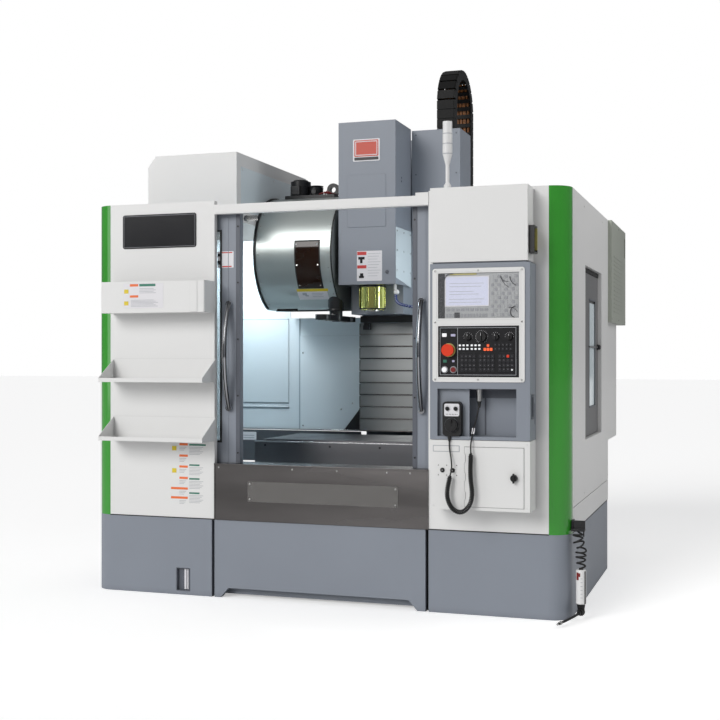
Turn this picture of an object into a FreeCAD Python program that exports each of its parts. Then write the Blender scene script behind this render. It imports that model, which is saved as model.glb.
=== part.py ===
"""A vertical machining centre with a sliding-door enclosure, a drum tool magazine and a control pendant.

Frame: +X to the operator's right, +Y away from the operator, +Z up. The origin is on the floor, at the
middle of the machine's own box. Places are written as x from the machine's middle plane, d behind the
enclosure's front plane, and z above the floor, and are built from the values in SIZES.
"""

import FreeCAD
import Part
import math
import os
import re
import Sketcher
from FreeCAD import Placement, Rotation, Vector

# Every size that can be set by itself, in millimetres (angles in degrees).
SIZES = {
    # enclosure
    "hall_w": 2400, "hall_h": 1940, "hall_d": 1445, "base_h": 380, "base_d": 1415,
    "panel_t": 30, "trim_r": 92, "trim_t": 4, "skin_gap": 0.3, "seam_w": 15, "seam_groove": 4, "seam_z": 490,
    "toe_low_half": 500, "toe_top_half": 457, "toe_h": 48, "toe_d": 90,
    "gauge_w": 72, "gauge_h": 110, "gauge_z": 21, "gauge_x": 701,
    # door opening, beam and splash guard
    "open_left": 531, "open_right": 553, "open_low": 655, "beam_low": 1874, "beam_top": 1920,
    "beam_d": 34, "beam_proud": 4, "guard_proud": 5, "rail_d": 62, "splash_d": 26, "ledge_d": 130, "ledge_t": 14,
    "beam_step_w": 62, "beam_step_h": 14,
    # sliding doors
    "door_w": 580, "door_front": 45, "door_t": 35, "door_show_left": 117, "door_show_right": 89,
    "door_frame": 105, "glass_t": 6, "door_run": 0.5,
    "handle_r": 12, "handle_low": 925, "handle_top": 1435, "handle_bow": 63, "handle_inset_left": 56,
    "handle_inset_right": 46, "handle_foot_r": 15, "handle_foot": 12,
    # left front panel fittings
    "box_left": 1090, "box_right": 528, "box_low": 1391, "box_top": 1545, "box_reach": 120,
    "shelf_left": 1090, "shelf_right": 525, "shelf_reach": 150, "shelf_t": 3, "shelf_lip": 20,
    "shelf_a": 1052, "shelf_b": 764, "gusset_h": 113,
    # console on the right front panel
    "con_left": 600, "con_right": 1050, "con_reach": 148, "con_low": 807, "hood_low": 1597, "hood_top": 1930,
    "con_gap": 7, "hood_slot_low": 1630, "hood_slot_top": 1748, "hood_slot_d": 45, "hood_slot_in": 60,
    "hood_slot_back": 30, "hood_in": 10, "neck_in": 10, "vent_back": 30, "vent_w": 8, "vent_in": 4,
    "vent_low": 877, "vent_top": 967,
    "bez_left": 612, "bez_right": 1028, "bez_low": 1063, "bez_top": 1568, "bez_t": 4,
    "scr_left": 638, "scr_right": 1003, "scr_low": 1346, "scr_top": 1547,
    "pan_low": 1085, "pan_top": 1312, "unit_t": 46, "unit_gap": 2,
    "bay_left": 634, "bay_right": 990, "bay_low": 822, "bay_top": 1033, "bay_d": 110,
    "stop_x": 686, "stop_z": 1205, "stop_r": 27.5, "stop_high": 28, "stop_travel": 5, "stem_r": 16.5,
    "stem_in": 2, "grip_w": 6, "grip_high": 6, "grip_in": 2, "cap_low": 4, "push_in": 2,
    "dial_x": 835, "dial_z": 1264, "dial_r": 21, "knob_r": 14, "knob_pitch": 62, "knob_high": 16,
    "push_x": 667, "push_pitch": 40, "push_z": 1118, "push_r": 11, "push_high": 9, "push_travel": 3,
    # pendant, its bracket, connector and cable
    "pen_left": 660, "pen_right": 744, "pen_low": 822.5, "pen_top": 976, "pen_t": 34, "pen_back": 124,
    "rest_t": 3, "rest_left": 634, "rest_right": 775, "wheel_r": 30, "wheel_t": 12, "wheel_z": 872,
    "sel_r": 9, "sel_t": 8, "sel_z": 945, "sel_half": 19,
    "plug_x": 813, "plug_d": 90, "plug_r": 13, "plug_low": 977, "wire_r": 3.25, "curl_r": 10.5,
    # small white box under the console
    "low_left": 600, "low_right": 1050, "low_low": 495, "low_top": 805, "low_reach": 146, "low_wall": 12,
    "lid_left": 758, "lid_right": 1023, "lid_low": 511, "lid_top": 775, "lid_t": 3, "lid_lap": 6,
    "latch_x": 981, "latch_z": 644, "latch_r": 15, "latch_high": 17, "wing_w": 8, "wing_half": 21,
    "wing_high": 5,
    # signal lamp
    "lamp_x": 639, "lamp_d": 45, "lamp_r": 22, "lamp_pole_r": 9, "lamp_base_r": 17, "lamp_top": 2256,
    "lamp_lens": 150, "lamp_base": 36, "lamp_rim": 22, "lamp_neck": 50,
    # right side door, cabinet and cooling unit
    "side_front": 515, "side_back": 1150, "side_low": 774, "side_top": 1621, "side_sunk": 20,
    "side_t": 20, "side_pin_r": 5, "side_gap": 3, "hinge_gap": 0.5, "side_glass_front": 805, "side_glass_back": 1035,
    "side_glass_low": 921, "side_glass_top": 1466, "side_latch_z": 1227, "side_latch_r": 9,
    "cab_left": 380, "cab_in": 5, "cab_d": 460, "cab_low": 710, "cab_top": 1943,
    "cool_left": 1000, "cool_proud": 20, "cool_d": 740, "cool_low": 1371, "cool_top": 1941,
    "cool_slot_d": 60, "cool_slot_back": 15, "cool_slot_down": 40, "cool_slot_h": 120, "cool_slot_in": 12,
    # interior walls and tray
    "wall_d": 1275, "wall_t": 5, "wall_low": 744, "wall_half": 1060, "slot_half": 182,
    "drum_hole_left": 642, "drum_hole_low": 1405, "tray_t": 6, "tray_clear": 10, "saddle_run": 250, "tray_front": 32,
    # bed, saddle, table and column
    "bed_half": 380, "bed_front": 300, "bed_back": 1800, "bed_top": 540, "bed_arch_w": 360, "bed_arch_h": 260,
    "skirt_clear": 10, "rail_t": 20, "cast_half": 150, "cast_relief": 8, "pen_round": 16, "stem_h": 14,
    "run_gap": 0.3, "saddle_half": 300, "saddle_front": 615, "saddle_back": 1035, "saddle_h": 105,
    "table_half": 500, "table_front": 575, "table_back": 1075, "table_top": 738, "tee_w": 18, "tee_deep": 30,
    "tee_wide": 32, "tee_low": 14, "tee_pitch": 100, "table_edge": 30,
    "col_half": 182, "col_front": 1325, "col_top": 2300,
    "side_cover_left": 166, "side_cover_right": 442, "side_cover_front": 1075, "side_cover_low": 1885,
    "side_cover_top": 2435, "side_cover_t": 3,
    # spindle head
    "head_half": 161, "cover_t": 3, "cover_front": 775, "cover_back": 1075, "cover_low": 1566,
    "cover_top": 2443, "cast_front": 790, "cast_step": 960, "cast_low": 1412, "cast_foot": 1150,
    "foot_low": 1371, "cast_top": 2000, "nose_d": 875, "nose_r": 71.5, "nose_low": 1432,
    "spin_r": 44, "spin_low": 1424, "spin_deep": 110, "taper_mouth": 22, "taper_end": 13, "spin_gap": 0.05,
    "cover_z_half": 176, "cover_z_front": 1175, "cover_z_low": 750, "rib_count": 9, "rib_step": 3,
    # tool magazine and changer
    "drum_left": 630, "drum_right": 184, "drum_d": 1055, "drum_z": 1750, "drum_r": 330, "drum_t": 3,
    "drum_cut": 1440, "rim_t": 10, "rim_r": 336, "disc_r": 210, "disc_t": 20, "disc_x": 300,
    "pot_r": 29, "pot_ring": 250, "pot_long": 115, "pot_count": 20, "axle_r": 30, "boss_r": 55, "boss_long": 60,
    "disc_gap": 0.3,
    "motor_x": 489, "motor_r": 57.5, "motor_top": 2176, "motor_b_x": 394, "motor_b_r": 38,
    "motor_b_top": 2140, "ring_x": 289, "ring_r": 36, "ring_in": 16, "ring_t": 26,
    "seat_left": 560, "seat_right": 262, "seat_half": 66, "seat_low": 2060, "seat_top": 2092,
    "brace_front": 1365, "brace_left": 560, "brace_h": 180, "brace_end": 1425,
    "arm_x": 211, "arm_w": 46, "arm_low": 1374, "arm_top": 1403, "arm_hub_r": 36,
    "arm_hub_top": 1428, "arm_claw_r": 40, "arm_grip_r": 24, "arm_turn": 90, "arm_post_r": 44,
    "arm_post_top": 1520,
    "tent_right": 642, "tent_front": 505, "tent_back": 1535, "tent_low": 1900, "tent_top": 2270,
    "tent_t": 3, "tent_slope_w": 46, "tent_slope_h": 60,
    # energy chain
    "chain_left": 243, "chain_right": 351, "chain_back": 1795, "chain_t": 62,
    "chain_top": 2867, "chain_front_low": 2330, "chain_back_low": 1960,
    # coolant hose on the head
    "jet_x": 140, "jet_d": 820, "jet_top": 1565, "jet_r": 8,
    # air hose, its hook and the air gun
    "hose_x": 1242, "hose_d": 62, "hose_top": 396, "hose_low": 224, "hose_r": 27.5,
    "gun_r": 24, "gun_low": 70, "gun_head_low": 24, "gun_head_r": 20, "gun_jet_r": 5, "jet_rise": 12, "jet_side": 72,
    "jet_reach": 212, "jet_low": 18, "lever_gap": 7,
    "lever_half": 5, "lever_t": 4, "lever_low": 34, "lever_up": 62, "lug_h": 10, "lever_pin_r": 2,
    "lever_pin_half": 8,
    "hook_w": 30, "hook_h": 44, "hook_reach": 58, "hook_in": 8.25, "hook_t": 6, "hook_arm_t": 8, "hook_pad_t": 4,
}

doc = FreeCAD.newDocument("machining_centre")
sheet = doc.addObject("Spreadsheet::Sheet", "dims")
for row, (alias, size) in enumerate(SIZES.items(), 1):
    sheet.set(f"A{row}", alias)
    sheet.set(f"B{row}", str(size))
    sheet.setAlias(f"B{row}", alias)
doc.recompute()

NODES = []
# The machine's middle plane and its front plane in the part's own frame.
MIDDLE = "(0 - cool_proud) / 2"
FRONT = "(con_reach + stop_high - unit_gap - hall_d - cool_d) / 2"


def ref(text):
    """The text of an expression, with each size's name as a cell of the sheet."""
    return re.sub(r"[a-z]\w*", lambda m: "dims." + m[0] if m[0] in SIZES else m[0], str(text))


def size(text):
    """The value of an expression, worked out by the sheet."""
    return float(sheet.evalExpression(ref(text)))


def bind(thing, **expressions):
    """Binds each property to an expression in the sheet's names."""
    for prop, text in expressions.items():
        thing.setExpression(prop, ref(text))


def place(thing, x, d, z, rotation=None):
    """Puts a thing's own origin at x from the middle plane, d behind the front plane and z above the floor."""
    if rotation:
        thing.Placement.Rotation = rotation
    bind(thing, **{
        ".Placement.Base.x": f"{MIDDLE} + ({x})",
        ".Placement.Base.y": f"{FRONT} + ({d})",
        ".Placement.Base.z": f"{z}",
    })
    return thing


def point(x, d, z):
    """A point in the part's own frame, from numbers measured as for place()."""
    return Vector(size(MIDDLE) + x, size(FRONT) + d, z)


def block(name, x, d, z):
    """A box between two ends along each direction."""
    made = doc.addObject("Part::Box", name)
    bind(made, Length=f"({x[1]}) - ({x[0]})", Width=f"({d[1]}) - ({d[0]})", Height=f"({z[1]}) - ({z[0]})")
    return place(made, x[0], d[0], z[0])


TURN = {"x": Rotation(Vector(0, 1, 0), 90), "y": Rotation(Vector(1, 0, 0), -90), "z": Rotation()}


def rod(name, axis, start, radius, length):
    """A cylinder from start, (x, d, z), along +X, +Y or +Z."""
    made = doc.addObject("Part::Cylinder", name)
    bind(made, Radius=radius, Height=length)
    return place(made, *start, TURN[axis])


def fuse(name, *things):
    made = doc.addObject("Part::MultiFuse", name)
    made.Shapes = list(things)
    return made


def cut(name, base, *tools):
    made = doc.addObject("Part::Cut", name)
    made.Base = base
    made.Tool = tools[0] if len(tools) == 1 else fuse(name + "_tools", *tools)
    return made


def group(name, *things):
    """Separate solids that make one node."""
    made = doc.addObject("Part::Compound", name)
    made.Links = list(things)
    return made


def rounded(name, base, radius, test):
    """A fillet on the edges of base that pass a test of their middle point, measured as for place()."""
    doc.recompute()
    radius = size(radius)
    picked = []
    for number, edge in enumerate(base.Shape.Edges, 1):
        middle = edge.valueAt((edge.FirstParameter + edge.LastParameter) / 2) - point(0, 0, 0)
        if test(middle, edge):
            picked.append((number, radius, radius))
    made = doc.addObject("Part::Fillet", name)
    made.Base = base
    made.Edges = picked
    return made


def sketched(body, plane, points):
    """A closed outline on one of the body's origin planes, each corner held by two bound distances."""
    planes = {feature.Role: feature for feature in body.Origin.OriginFeatures}
    sketch = body.newObject("Sketcher::SketchObject", body.Name + "_outline")
    sketch.AttachmentSupport = [(planes[plane], "")]
    sketch.MapMode = "FlatFace"
    corners = [(size(u), size(v)) for u, v in points]
    count = len(points)
    for i in range(count):
        start = Vector(*corners[i], 0)
        sketch.addGeometry(Part.LineSegment(start, Vector(*corners[(i + 1) % count], 0)))
    for i in range(count):
        sketch.addConstraint(Sketcher.Constraint("Coincident", i, 2, (i + 1) % count, 1))
    for i, texts in enumerate(points):
        for kind, text, value in zip(("DistanceX", "DistanceY"), texts, corners[i]):
            number = sketch.addConstraint(Sketcher.Constraint(kind, -1, 1, i, 1, value))
            sketch.renameConstraint(number, f"{kind}{i}")
            bind(sketch, **{f"Constraints.{kind}{i}": text})
    return sketch


def extruded(name, plane, points, length, start):
    """A padded outline. On XZ it grows towards the operator, on YZ to the right and on XY upwards."""
    body = doc.addObject("PartDesign::Body", name)
    sketch = sketched(body, plane, points)
    pad = body.newObject("PartDesign::Pad", name + "_pad")
    pad.Profile = sketch
    bind(pad, Length=length)
    return place(body, *start)


def turned(name, points, start, axis="z"):
    """A revolved outline of (radius, height) corners, about the line through start."""
    body = doc.addObject("PartDesign::Body", name)
    sketch = sketched(body, "XZ_Plane", points)
    turn = body.newObject("PartDesign::Revolution", name + "_turn")
    turn.Profile = sketch
    turn.ReferenceAxis = (sketch, ["V_Axis"])
    turn.Angle = 360
    return place(body, *start, TURN[axis])


def routed(points, radius, report=None):
    """A round tube along straight runs joined by tangent arcs."""
    edges = []
    start = points[0]
    for before, corner, after in zip(points, points[1:], points[2:]):
        arriving = (corner - before).normalize()
        leaving = (after - corner).normalize()
        half = arriving.getAngle(leaving) / 2
        back = 0.45 * min((corner - before).Length, (after - corner).Length)
        bend = back / math.tan(half)
        if report:
            print(report, "bend radius", round(bend, 1))
        first = corner - arriving * back
        last = corner + leaving * back
        inward = (leaving - arriving).normalize()
        middle = corner + inward * (bend / math.cos(half) - bend)
        edges.append(Part.LineSegment(start, first).toShape())
        edges.append(Part.Arc(first, middle, last).toShape())
        start = last
    edges.append(Part.LineSegment(start, points[-1]).toShape())
    path = Part.Wire(edges)
    ring = Part.Wire([Part.Circle(points[0], points[1] - points[0], radius).toShape()])
    tube = path.makePipeShell([ring], True, True)
    if report:
        print(report, "volume share", round(tube.Volume / (math.pi * radius**2 * path.Length), 4))
    return tube


def feature(name, shape):
    made = doc.addObject("Part::Feature", name)
    made.Shape = shape
    return made


def node(label, thing):
    """Marks a thing as a sub-part of the machine, under its own name."""
    thing.Label = label
    NODES.append(thing)
    return thing


HALF = "hall_w / 2"
INNER = "hall_w / 2 - panel_t"


def base():
    """The skirt round the machine's foot: two side pieces and a middle one with a toe recess."""
    outer = rounded("skirt_round", block("skirt_blank", (f"-{HALF}", HALF), (0, "base_d"), (0, "base_h")),
                    "trim_r", lambda m, e: m.y < 1 and abs(m.z - size("base_h / 2")) < 1)
    inside = block("skirt_inside", (f"-({INNER})", INNER), ("panel_t", "base_d - panel_t"), (-1, "base_h - panel_t"))
    gap = block("skirt_gap", ("-bed_half - skirt_clear", "bed_half + skirt_clear"),
                ("base_d - panel_t - 1", "base_d + 1"), (-1, "base_h + 1"))
    seam_left = block("skirt_seam_left", ("-open_left - seam_w", "-open_left"), (-1, "panel_t + 1"), (-1, "base_h + 1"))
    seam_right = block("skirt_seam_right", ("open_right - seam_w", "open_right"), (-1, "panel_t + 1"),
                       (-1, "base_h + 1"))
    top_left = block("skirt_top_left", ("-open_left - seam_w", "-open_left"), ("panel_t", "tray_front + panel_t + 1"),
                     ("base_h - panel_t - 1", "base_h + 1"))
    top_right = block("skirt_top_right", ("open_right - seam_w", "open_right"), ("panel_t", "tray_front + panel_t + 1"),
                      ("base_h - panel_t - 1", "base_h + 1"))
    well = block("skirt_well", ("-wall_half", "wall_half"), ("tray_front + panel_t", "base_d - panel_t"),
                 ("base_h - panel_t - 1", "base_h + 1"))
    gauge = block("skirt_gauge", ("-gauge_x - gauge_w / 2", "-gauge_x + gauge_w / 2"), (-1, "panel_t / 2"),
                  ("gauge_z", "gauge_z + gauge_h"))
    toe = extruded("skirt_toe", "XZ_Plane", [("-toe_low_half", -1), ("toe_low_half", -1),
                   ("toe_top_half", "toe_h"), ("-toe_top_half", "toe_h")], "panel_t + 2", (0, "panel_t + 1", 0))
    node("base_skirts", cut("skirts", outer, inside, gap, seam_left, seam_right, top_left, top_right, well,
                            gauge, toe))
    bed = block("bed_blank", ("-bed_half", "bed_half"), ("bed_front", "bed_back"), (0, "bed_top"))
    arch = block("bed_arch", ("-bed_half - 1", "bed_half + 1"), ("bed_front + bed_arch_w", "bed_back - bed_arch_w"),
                 (-1, "bed_arch_h"))
    node("machine_bed", cut("bed", bed, arch))


def corner(side, angle):
    """A green quarter-round trim at a front corner."""
    made = []
    for name, radius in (("trim", "trim_r"), ("trim_hollow", "trim_r - trim_t")):
        quarter = doc.addObject("Part::Cylinder", f"{name}_{angle}")
        quarter.Angle = 90
        bind(quarter, Radius=radius, Height="hall_h - base_h")
        made.append(place(quarter, f"{side}({HALF} - trim_r)", "trim_r", "base_h", Rotation(Vector(0, 0, 1), angle)))
    return cut(f"corner_{angle}", *made)


def hose_hook():
    """The bracket at the right front corner that the air hose hangs from."""
    reach = f"{HALF} + hook_reach"
    plate = block("hook_plate", (HALF, reach), ("hose_d + hook_in", "hose_d + hook_in + hook_t"),
                  ("hose_top", "hose_top + hook_h"))
    arm = block("hook_arm", (HALF, reach), ("hose_d - hook_w / 2", "hose_d + hook_w / 2"),
                ("hose_top", "hose_top + hook_arm_t"))
    pad = block("hook_pad", (HALF, f"{HALF} + hook_pad_t"), ("hose_d", "trim_r + hook_w"), ("hose_top", "hose_top + hook_h"))
    return fuse("hook", plate, arm, pad)


def enclosure():
    """The sheet-metal panels of the hall, its beam and its splash guard."""
    wall = ("base_h", "hall_h")
    node("front_panels", group(
        "fronts", block("front_left", (f"-({HALF} - trim_r)", "-open_left"), (0, "panel_t"), wall),
        block("front_right", ("open_right", f"{HALF} - trim_r"), (0, "panel_t"), wall)))
    node("corner_trims", group("trims", corner("-", 180), corner("", -90)))
    sides = []
    for word, low, high in (("left", f"-{HALF}", f"-({INNER})"), ("right", INNER, HALF)):
        panel = block(f"side_{word}_panel", (low, high), ("trim_r", "hall_d"), wall)
        face = high if word == "right" else low
        tools = [block(f"side_{word}_seam", (f"{face} - seam_groove", f"{face} + seam_groove"),
                       ("trim_r - 1", "hall_d + 1"), ("seam_z", "seam_z + seam_groove"))]
        if word == "right":
            tools.append(block("side_hole", (f"{low} - 1", f"{high} + 1"), ("side_front", "side_back"),
                               ("side_low", "side_top")))
            tools.append(rod("side_pin_groove", "z", (f"{HALF} - side_sunk", "side_front + hinge_gap", "side_low"),
                             "side_pin_r + skin_gap", "side_top - side_low"))
        sides.append(cut(f"side_{word}", panel, *tools))
    node("side_panels", group("sides", *sides, hose_hook()))
    beam = block("beam", ("-open_left", "open_right"), ("-beam_proud", "beam_d"), ("beam_low", "beam_top"))
    rail = block("rail", ("-wall_half + 1", "wall_half - 1"), ("panel_t", "rail_d + beam_d"),
                 ("beam_top - rail_t", "beam_top"))
    step = block("beam_step", ("open_right - beam_step_w", "open_right"), ("-beam_proud", "beam_d"),
                 ("beam_top", "beam_top + beam_step_h"))
    node("top_beam", fuse("beams", beam, rail, step))
    guard = block("guard", ("-open_left", "open_right"), ("-guard_proud", "splash_d"), ("base_h", "open_low"))
    ledge = block("ledge", ("-wall_half + 1", "wall_half - 1"), ("panel_t", "ledge_d"),
                  ("open_low - ledge_t", "open_low"))
    lip = block("ledge_lip", ("-open_left", "open_right"), ("splash_d", "panel_t"), ("open_low - ledge_t", "open_low"))
    node("splash_guard", fuse("guards", guard, ledge, lip))


def interior():
    """The pale rear and side walls of the work space and the steel chip tray."""
    back = ("wall_d", "wall_d + wall_t")
    left = block("back_left", ("-wall_half", "-drum_hole_left"), back, ("wall_low", "beam_low"))
    under = block("back_under", ("-drum_hole_left", "-slot_half"), back, ("wall_low", "drum_hole_low"))
    right = block("back_right", ("slot_half", "wall_half"), back, ("wall_low", "beam_low"))
    rear = fuse("back_walls", left, under)
    cheeks = []
    for word, low in (("left", "-wall_half - wall_t"), ("right", "wall_half")):
        cheeks.append(block(f"cheek_{word}", (low, f"{low} + wall_t"), ("panel_t", "wall_d + wall_t"),
                            ("base_h", "beam_low")))
    tray = block("tray_blank", ("-wall_half", "wall_half"), ("tray_front", "wall_d"), ("bed_top", "bed_top + tray_t"))
    well = block("tray_well", ("-saddle_half - tray_clear", "saddle_half + tray_clear"),
                 ("saddle_front - saddle_run - tray_clear", "wall_d + 1"), ("bed_top - 1", "bed_top + tray_t + 1"))
    node("interior_panels", group("walls", rear, right, *cheeks, cut("tray", tray, well)))


def sliding_doors():
    """Two framed doors with glass and bowed handles. They part behind the front panels."""
    for word, low, handle_x in (
        ("left", "-open_left + door_show_left - door_w", "-open_left + door_show_left - handle_inset_left"),
        ("right", "open_right - door_show_right", "open_right - door_show_right + handle_inset_right"),
    ):
        high = f"{low} + door_w"
        heights = ("open_low + door_run", "beam_top - rail_t - door_run")
        front = ("door_front", "door_front + door_t")
        blank = block(f"door_{word}_blank", (low, high), front, heights)
        hole = block(f"door_{word}_hole", (f"{low} + door_frame", f"{high} - door_frame"),
                     ("door_front - 1", "door_front + door_t + 1"),
                     (f"{heights[0]} + door_frame", f"{heights[1]} - door_frame"))
        node(f"door_{word}", cut(f"door_{word}_cut", blank, hole))
        middle = "door_front + door_t / 2"
        node(f"door_glass_{word}", block(f"pane_{word}", (f"{low} + door_frame", f"{high} - door_frame"),
                                         (f"{middle} - glass_t / 2", f"{middle} + glass_t / 2"),
                                         (f"{heights[0]} + door_frame", f"{heights[1]} - door_frame")))
        x = size(handle_x)
        face = size("door_front")
        ends = [size("handle_low"), size("handle_top")]
        foot = size("handle_foot")
        bow = Part.Arc(point(x, face - foot, ends[0]), point(x, face - size("handle_bow"), sum(ends) / 2),
                       point(x, face - foot, ends[1])).toShape()
        ring = Part.Wire([Part.Circle(bow.valueAt(bow.FirstParameter), bow.tangentAt(bow.FirstParameter),
                                      size("handle_r")).toShape()])
        bar = feature(f"handle_{word}_bar", Part.Wire([bow]).makePipeShell([ring], True, True))
        feet = [rod(f"handle_{word}_foot_{i}", "y", (handle_x, "door_front - handle_foot - 6", z),
                    "handle_foot_r", "handle_foot + 6") for i, z in enumerate(("handle_low", "handle_top"))]
        node(f"handle_{word}", fuse(f"handle_{word}_whole", bar, *feet))


def front_fittings():
    """The document box and the two shelves on the left front panel."""
    box = block("papers_blank", ("-box_left", "-box_right"), ("-box_reach", 0), ("box_low", "box_top"))
    room = block("papers_room", ("-box_left + shelf_t", "-box_right - shelf_t"), ("-box_reach + shelf_t", "-shelf_t"),
                 ("box_low + shelf_t", "box_top + 1"))
    shelves = []
    for word, low in (("upper", "shelf_a"), ("lower", "shelf_b")):
        plate = block(f"shelf_{word}_plate", ("-shelf_left", "-shelf_right"), ("-shelf_reach", 0),
                      (low, f"{low} + shelf_t"))
        lip = block(f"shelf_{word}_lip", ("-shelf_left", "-shelf_right"), ("-shelf_reach", "-shelf_reach + shelf_t"),
                    (low, f"{low} + shelf_lip"))
        back = block(f"shelf_{word}_back", ("-shelf_left", "-shelf_right"), ("-shelf_t", 0),
                     (low, f"{low} + gusset_h"))
        ends = [extruded(f"shelf_{word}_end_{i}", "YZ_Plane",
                         [("-shelf_reach", 0), (0, 0), (0, "gusset_h"), ("-shelf_reach", "shelf_lip")],
                         "shelf_t", (x, 0, low)) for i, x in enumerate(("-shelf_left", "-shelf_right - shelf_t"))]
        shelves.append(fuse(f"shelf_{word}", plate, lip, back, *ends))
    node("front_shelves", group("holders", cut("papers", box, room), *shelves))


def console():
    """The operator's console: hood, housing, bezel, display, switch panel and its controls."""
    reach = ("-con_reach", 0)
    hood = block("hood_blank", ("con_left", "con_right - hood_in"), reach, ("hood_low", "hood_top"))
    slot = block("hood_slot", ("con_right - hood_in - hood_slot_in", "con_right"),
                 ("-hood_slot_back - hood_slot_d", "-hood_slot_back"),
                 ("hood_slot_low", "hood_slot_top"))
    node("console_hood", cut("hood", hood, slot))
    body = block("con_blank", ("con_left", "con_right"), reach, ("con_low", "hood_low - con_gap"))
    neck = block("con_neck", ("con_left + neck_in", "con_right - hood_in - neck_in"), ("-con_reach + neck_in", 0),
                 ("hood_low - con_gap", "hood_low"))
    openings = {"screen": ("scr_low", "scr_top"), "switches": ("pan_low", "pan_top")}
    pockets = [block(f"con_{word}", ("scr_left", "scr_right"), ("-con_reach - 1", "-con_reach + unit_t"), z)
               for word, z in openings.items()]
    bay = block("con_bay", ("bay_left", "bay_right"), ("-con_reach - 1", "-con_reach + bay_d"), ("bay_low", "bay_top"))
    vent = block("con_vent", ("con_right - vent_in", "con_right + 1"), ("-vent_back - vent_w", "-vent_back"),
                 ("vent_low", "vent_top"))
    rest = block("rest", ("rest_left", "rest_right"), ("-pen_back", "-pen_back + rest_t"), ("bay_low", "bay_top"))
    node("console_housing", fuse("console", cut("con_hollow", body, *pockets, bay, vent), neck, rest))
    front = block("bezel_blank", ("bez_left", "bez_right"), ("-con_reach - bez_t", "-con_reach"),
                  ("bez_low", "bez_top"))
    front = rounded("bezel_round", front, "bez_t * 3",
                    lambda m, e: abs(e.tangentAt(e.FirstParameter).y) > 0.9)
    holes = [block(f"bezel_{word}", ("scr_left", "scr_right"), ("-con_reach - bez_t - 1", "-con_reach + 1"), z)
             for word, z in openings.items()]
    node("console_bezel", cut("bezel", front, *holes))
    face = "-con_reach + unit_gap"
    sides = ("scr_left", "scr_right")
    back = "-con_reach + unit_t"
    node("display_unit", block("display", sides, (face, back), openings["screen"]))
    front = f"{face} - 1"
    wells = [rod("well_stop", "y", ("stop_x", front, "stop_z"), "stem_r + skin_gap",
                 "1 + stem_in + stop_travel + skin_gap")]
    stem = rod("stop_stem", "y", ("stop_x", f"{face} - stem_h", "stop_z"), "stem_r", "stem_h + stem_in")
    cap = rod("stop_cap", "y", ("stop_x", f"{face} - stop_high", "stop_z"), "stop_r", "stop_high - stem_h")
    node("emergency_stop", fuse("stop", stem, cap))
    for i, word in enumerate(("start", "hold")):
        x = f"push_x + {i} * push_pitch"
        wells.append(rod(f"well_{word}", "y", (x, front, "push_z"), "push_r + skin_gap",
                         "1 + push_in + push_travel + skin_gap"))
        node(f"{word}_button", rod(f"push_{word}", "y", (x, f"{face} - push_high", "push_z"), "push_r",
                                   "push_high + push_in"))
    node("control_panel", cut("switch_board", block("switch_plate", sides, (face, back), openings["switches"]),
                              *wells))
    top = f"{face} - knob_high"
    dial = rod("dial_round", "y", ("dial_x", top, "dial_z"), "dial_r", "knob_high - skin_gap")
    grip = block("dial_grip", ("dial_x - grip_w / 2", "dial_x + grip_w / 2"), (f"{top} - grip_high", f"{top} + 1"),
                 ("dial_z - dial_r + grip_in", "dial_z + dial_r - grip_in"))
    node("feed_dial", fuse("dial", dial, grip))
    for word, steps in (("mode", -1), ("rapid", 1), ("spindle", 2)):
        x = f"dial_x + ({steps}) * knob_pitch"
        low = f"{top} + cap_low"
        cap = rod(f"knob_{word}_round", "y", (x, low, "dial_z"), "knob_r", "knob_high - cap_low - skin_gap")
        bar = block(f"knob_{word}_bar", (f"{x} - grip_w / 2", f"{x} + grip_w / 2"),
                    (f"{low} - grip_high", f"{low} + 1"), ("dial_z - knob_r + grip_in", "dial_z + knob_r - grip_in"))
        node(f"{word}_knob", fuse(f"knob_{word}", cap, bar))


def pendant():
    """The hand-wheel pendant on its rest in the console's bay, with its connector and cable."""
    back = "-pen_back"
    body = rounded("pendant_round", block("pendant_blank", ("pen_left", "pen_right"), (f"{back} - pen_t", back),
                                          ("pen_low", "pen_top")), "pen_round",
                   lambda m, e: abs(e.tangentAt(e.FirstParameter).y) > 0.9)
    node("pendant_body", body)
    middle = "(pen_left + pen_right) / 2"
    face = f"{back} - pen_t"
    node("pendant_wheel", rod("wheel", "y", (middle, f"{face} - wheel_t", "wheel_z"), "wheel_r", "wheel_t - skin_gap"))
    for word, sign in (("axis", "-"), ("step", "+")):
        node(f"pendant_{word}_knob", rod(f"selector_{word}", "y", (f"{middle} {sign} sel_half", f"{face} - sel_t",
                                                                   "sel_z"), "sel_r", "sel_t - skin_gap"))
    node("pendant_connector", rod("connector", "z", ("plug_x", "-plug_d", "plug_low"), "plug_r",
                                  "bay_top - plug_low"))
    upper = [point(*p) for p in ((813, -90, 977), (809, -98, 930), (799, -122, 875), (792, -158, 815),
                                 (789, -171, 765), (790, -174, 715))]
    curl = [point(*p) for p in ((790, -174, 715), (791.6, -178.8, 635), (803, -181, 568), (788, -181, 515),
                                (750, -181, 486), (708, -181, 503), (686, -180, 556), (693, -176, 620),
                                (703, -171, 672))]
    lower = [point(*p) for p in ((703, -171, 672), (706.8, -169.1, 692), (699, -161, 730), (689, -154.5, 775),
                                 (690, -153, 822.5))]
    wire = size("wire_r")
    node("pendant_cable", feature("cable", Part.makeCompound([routed(upper, wire, "cable"),
                                                              routed(lower, wire, "cable foot")])))
    node("pendant_curl", feature("curl", routed(curl, size("curl_r"), "curl")))


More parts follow.
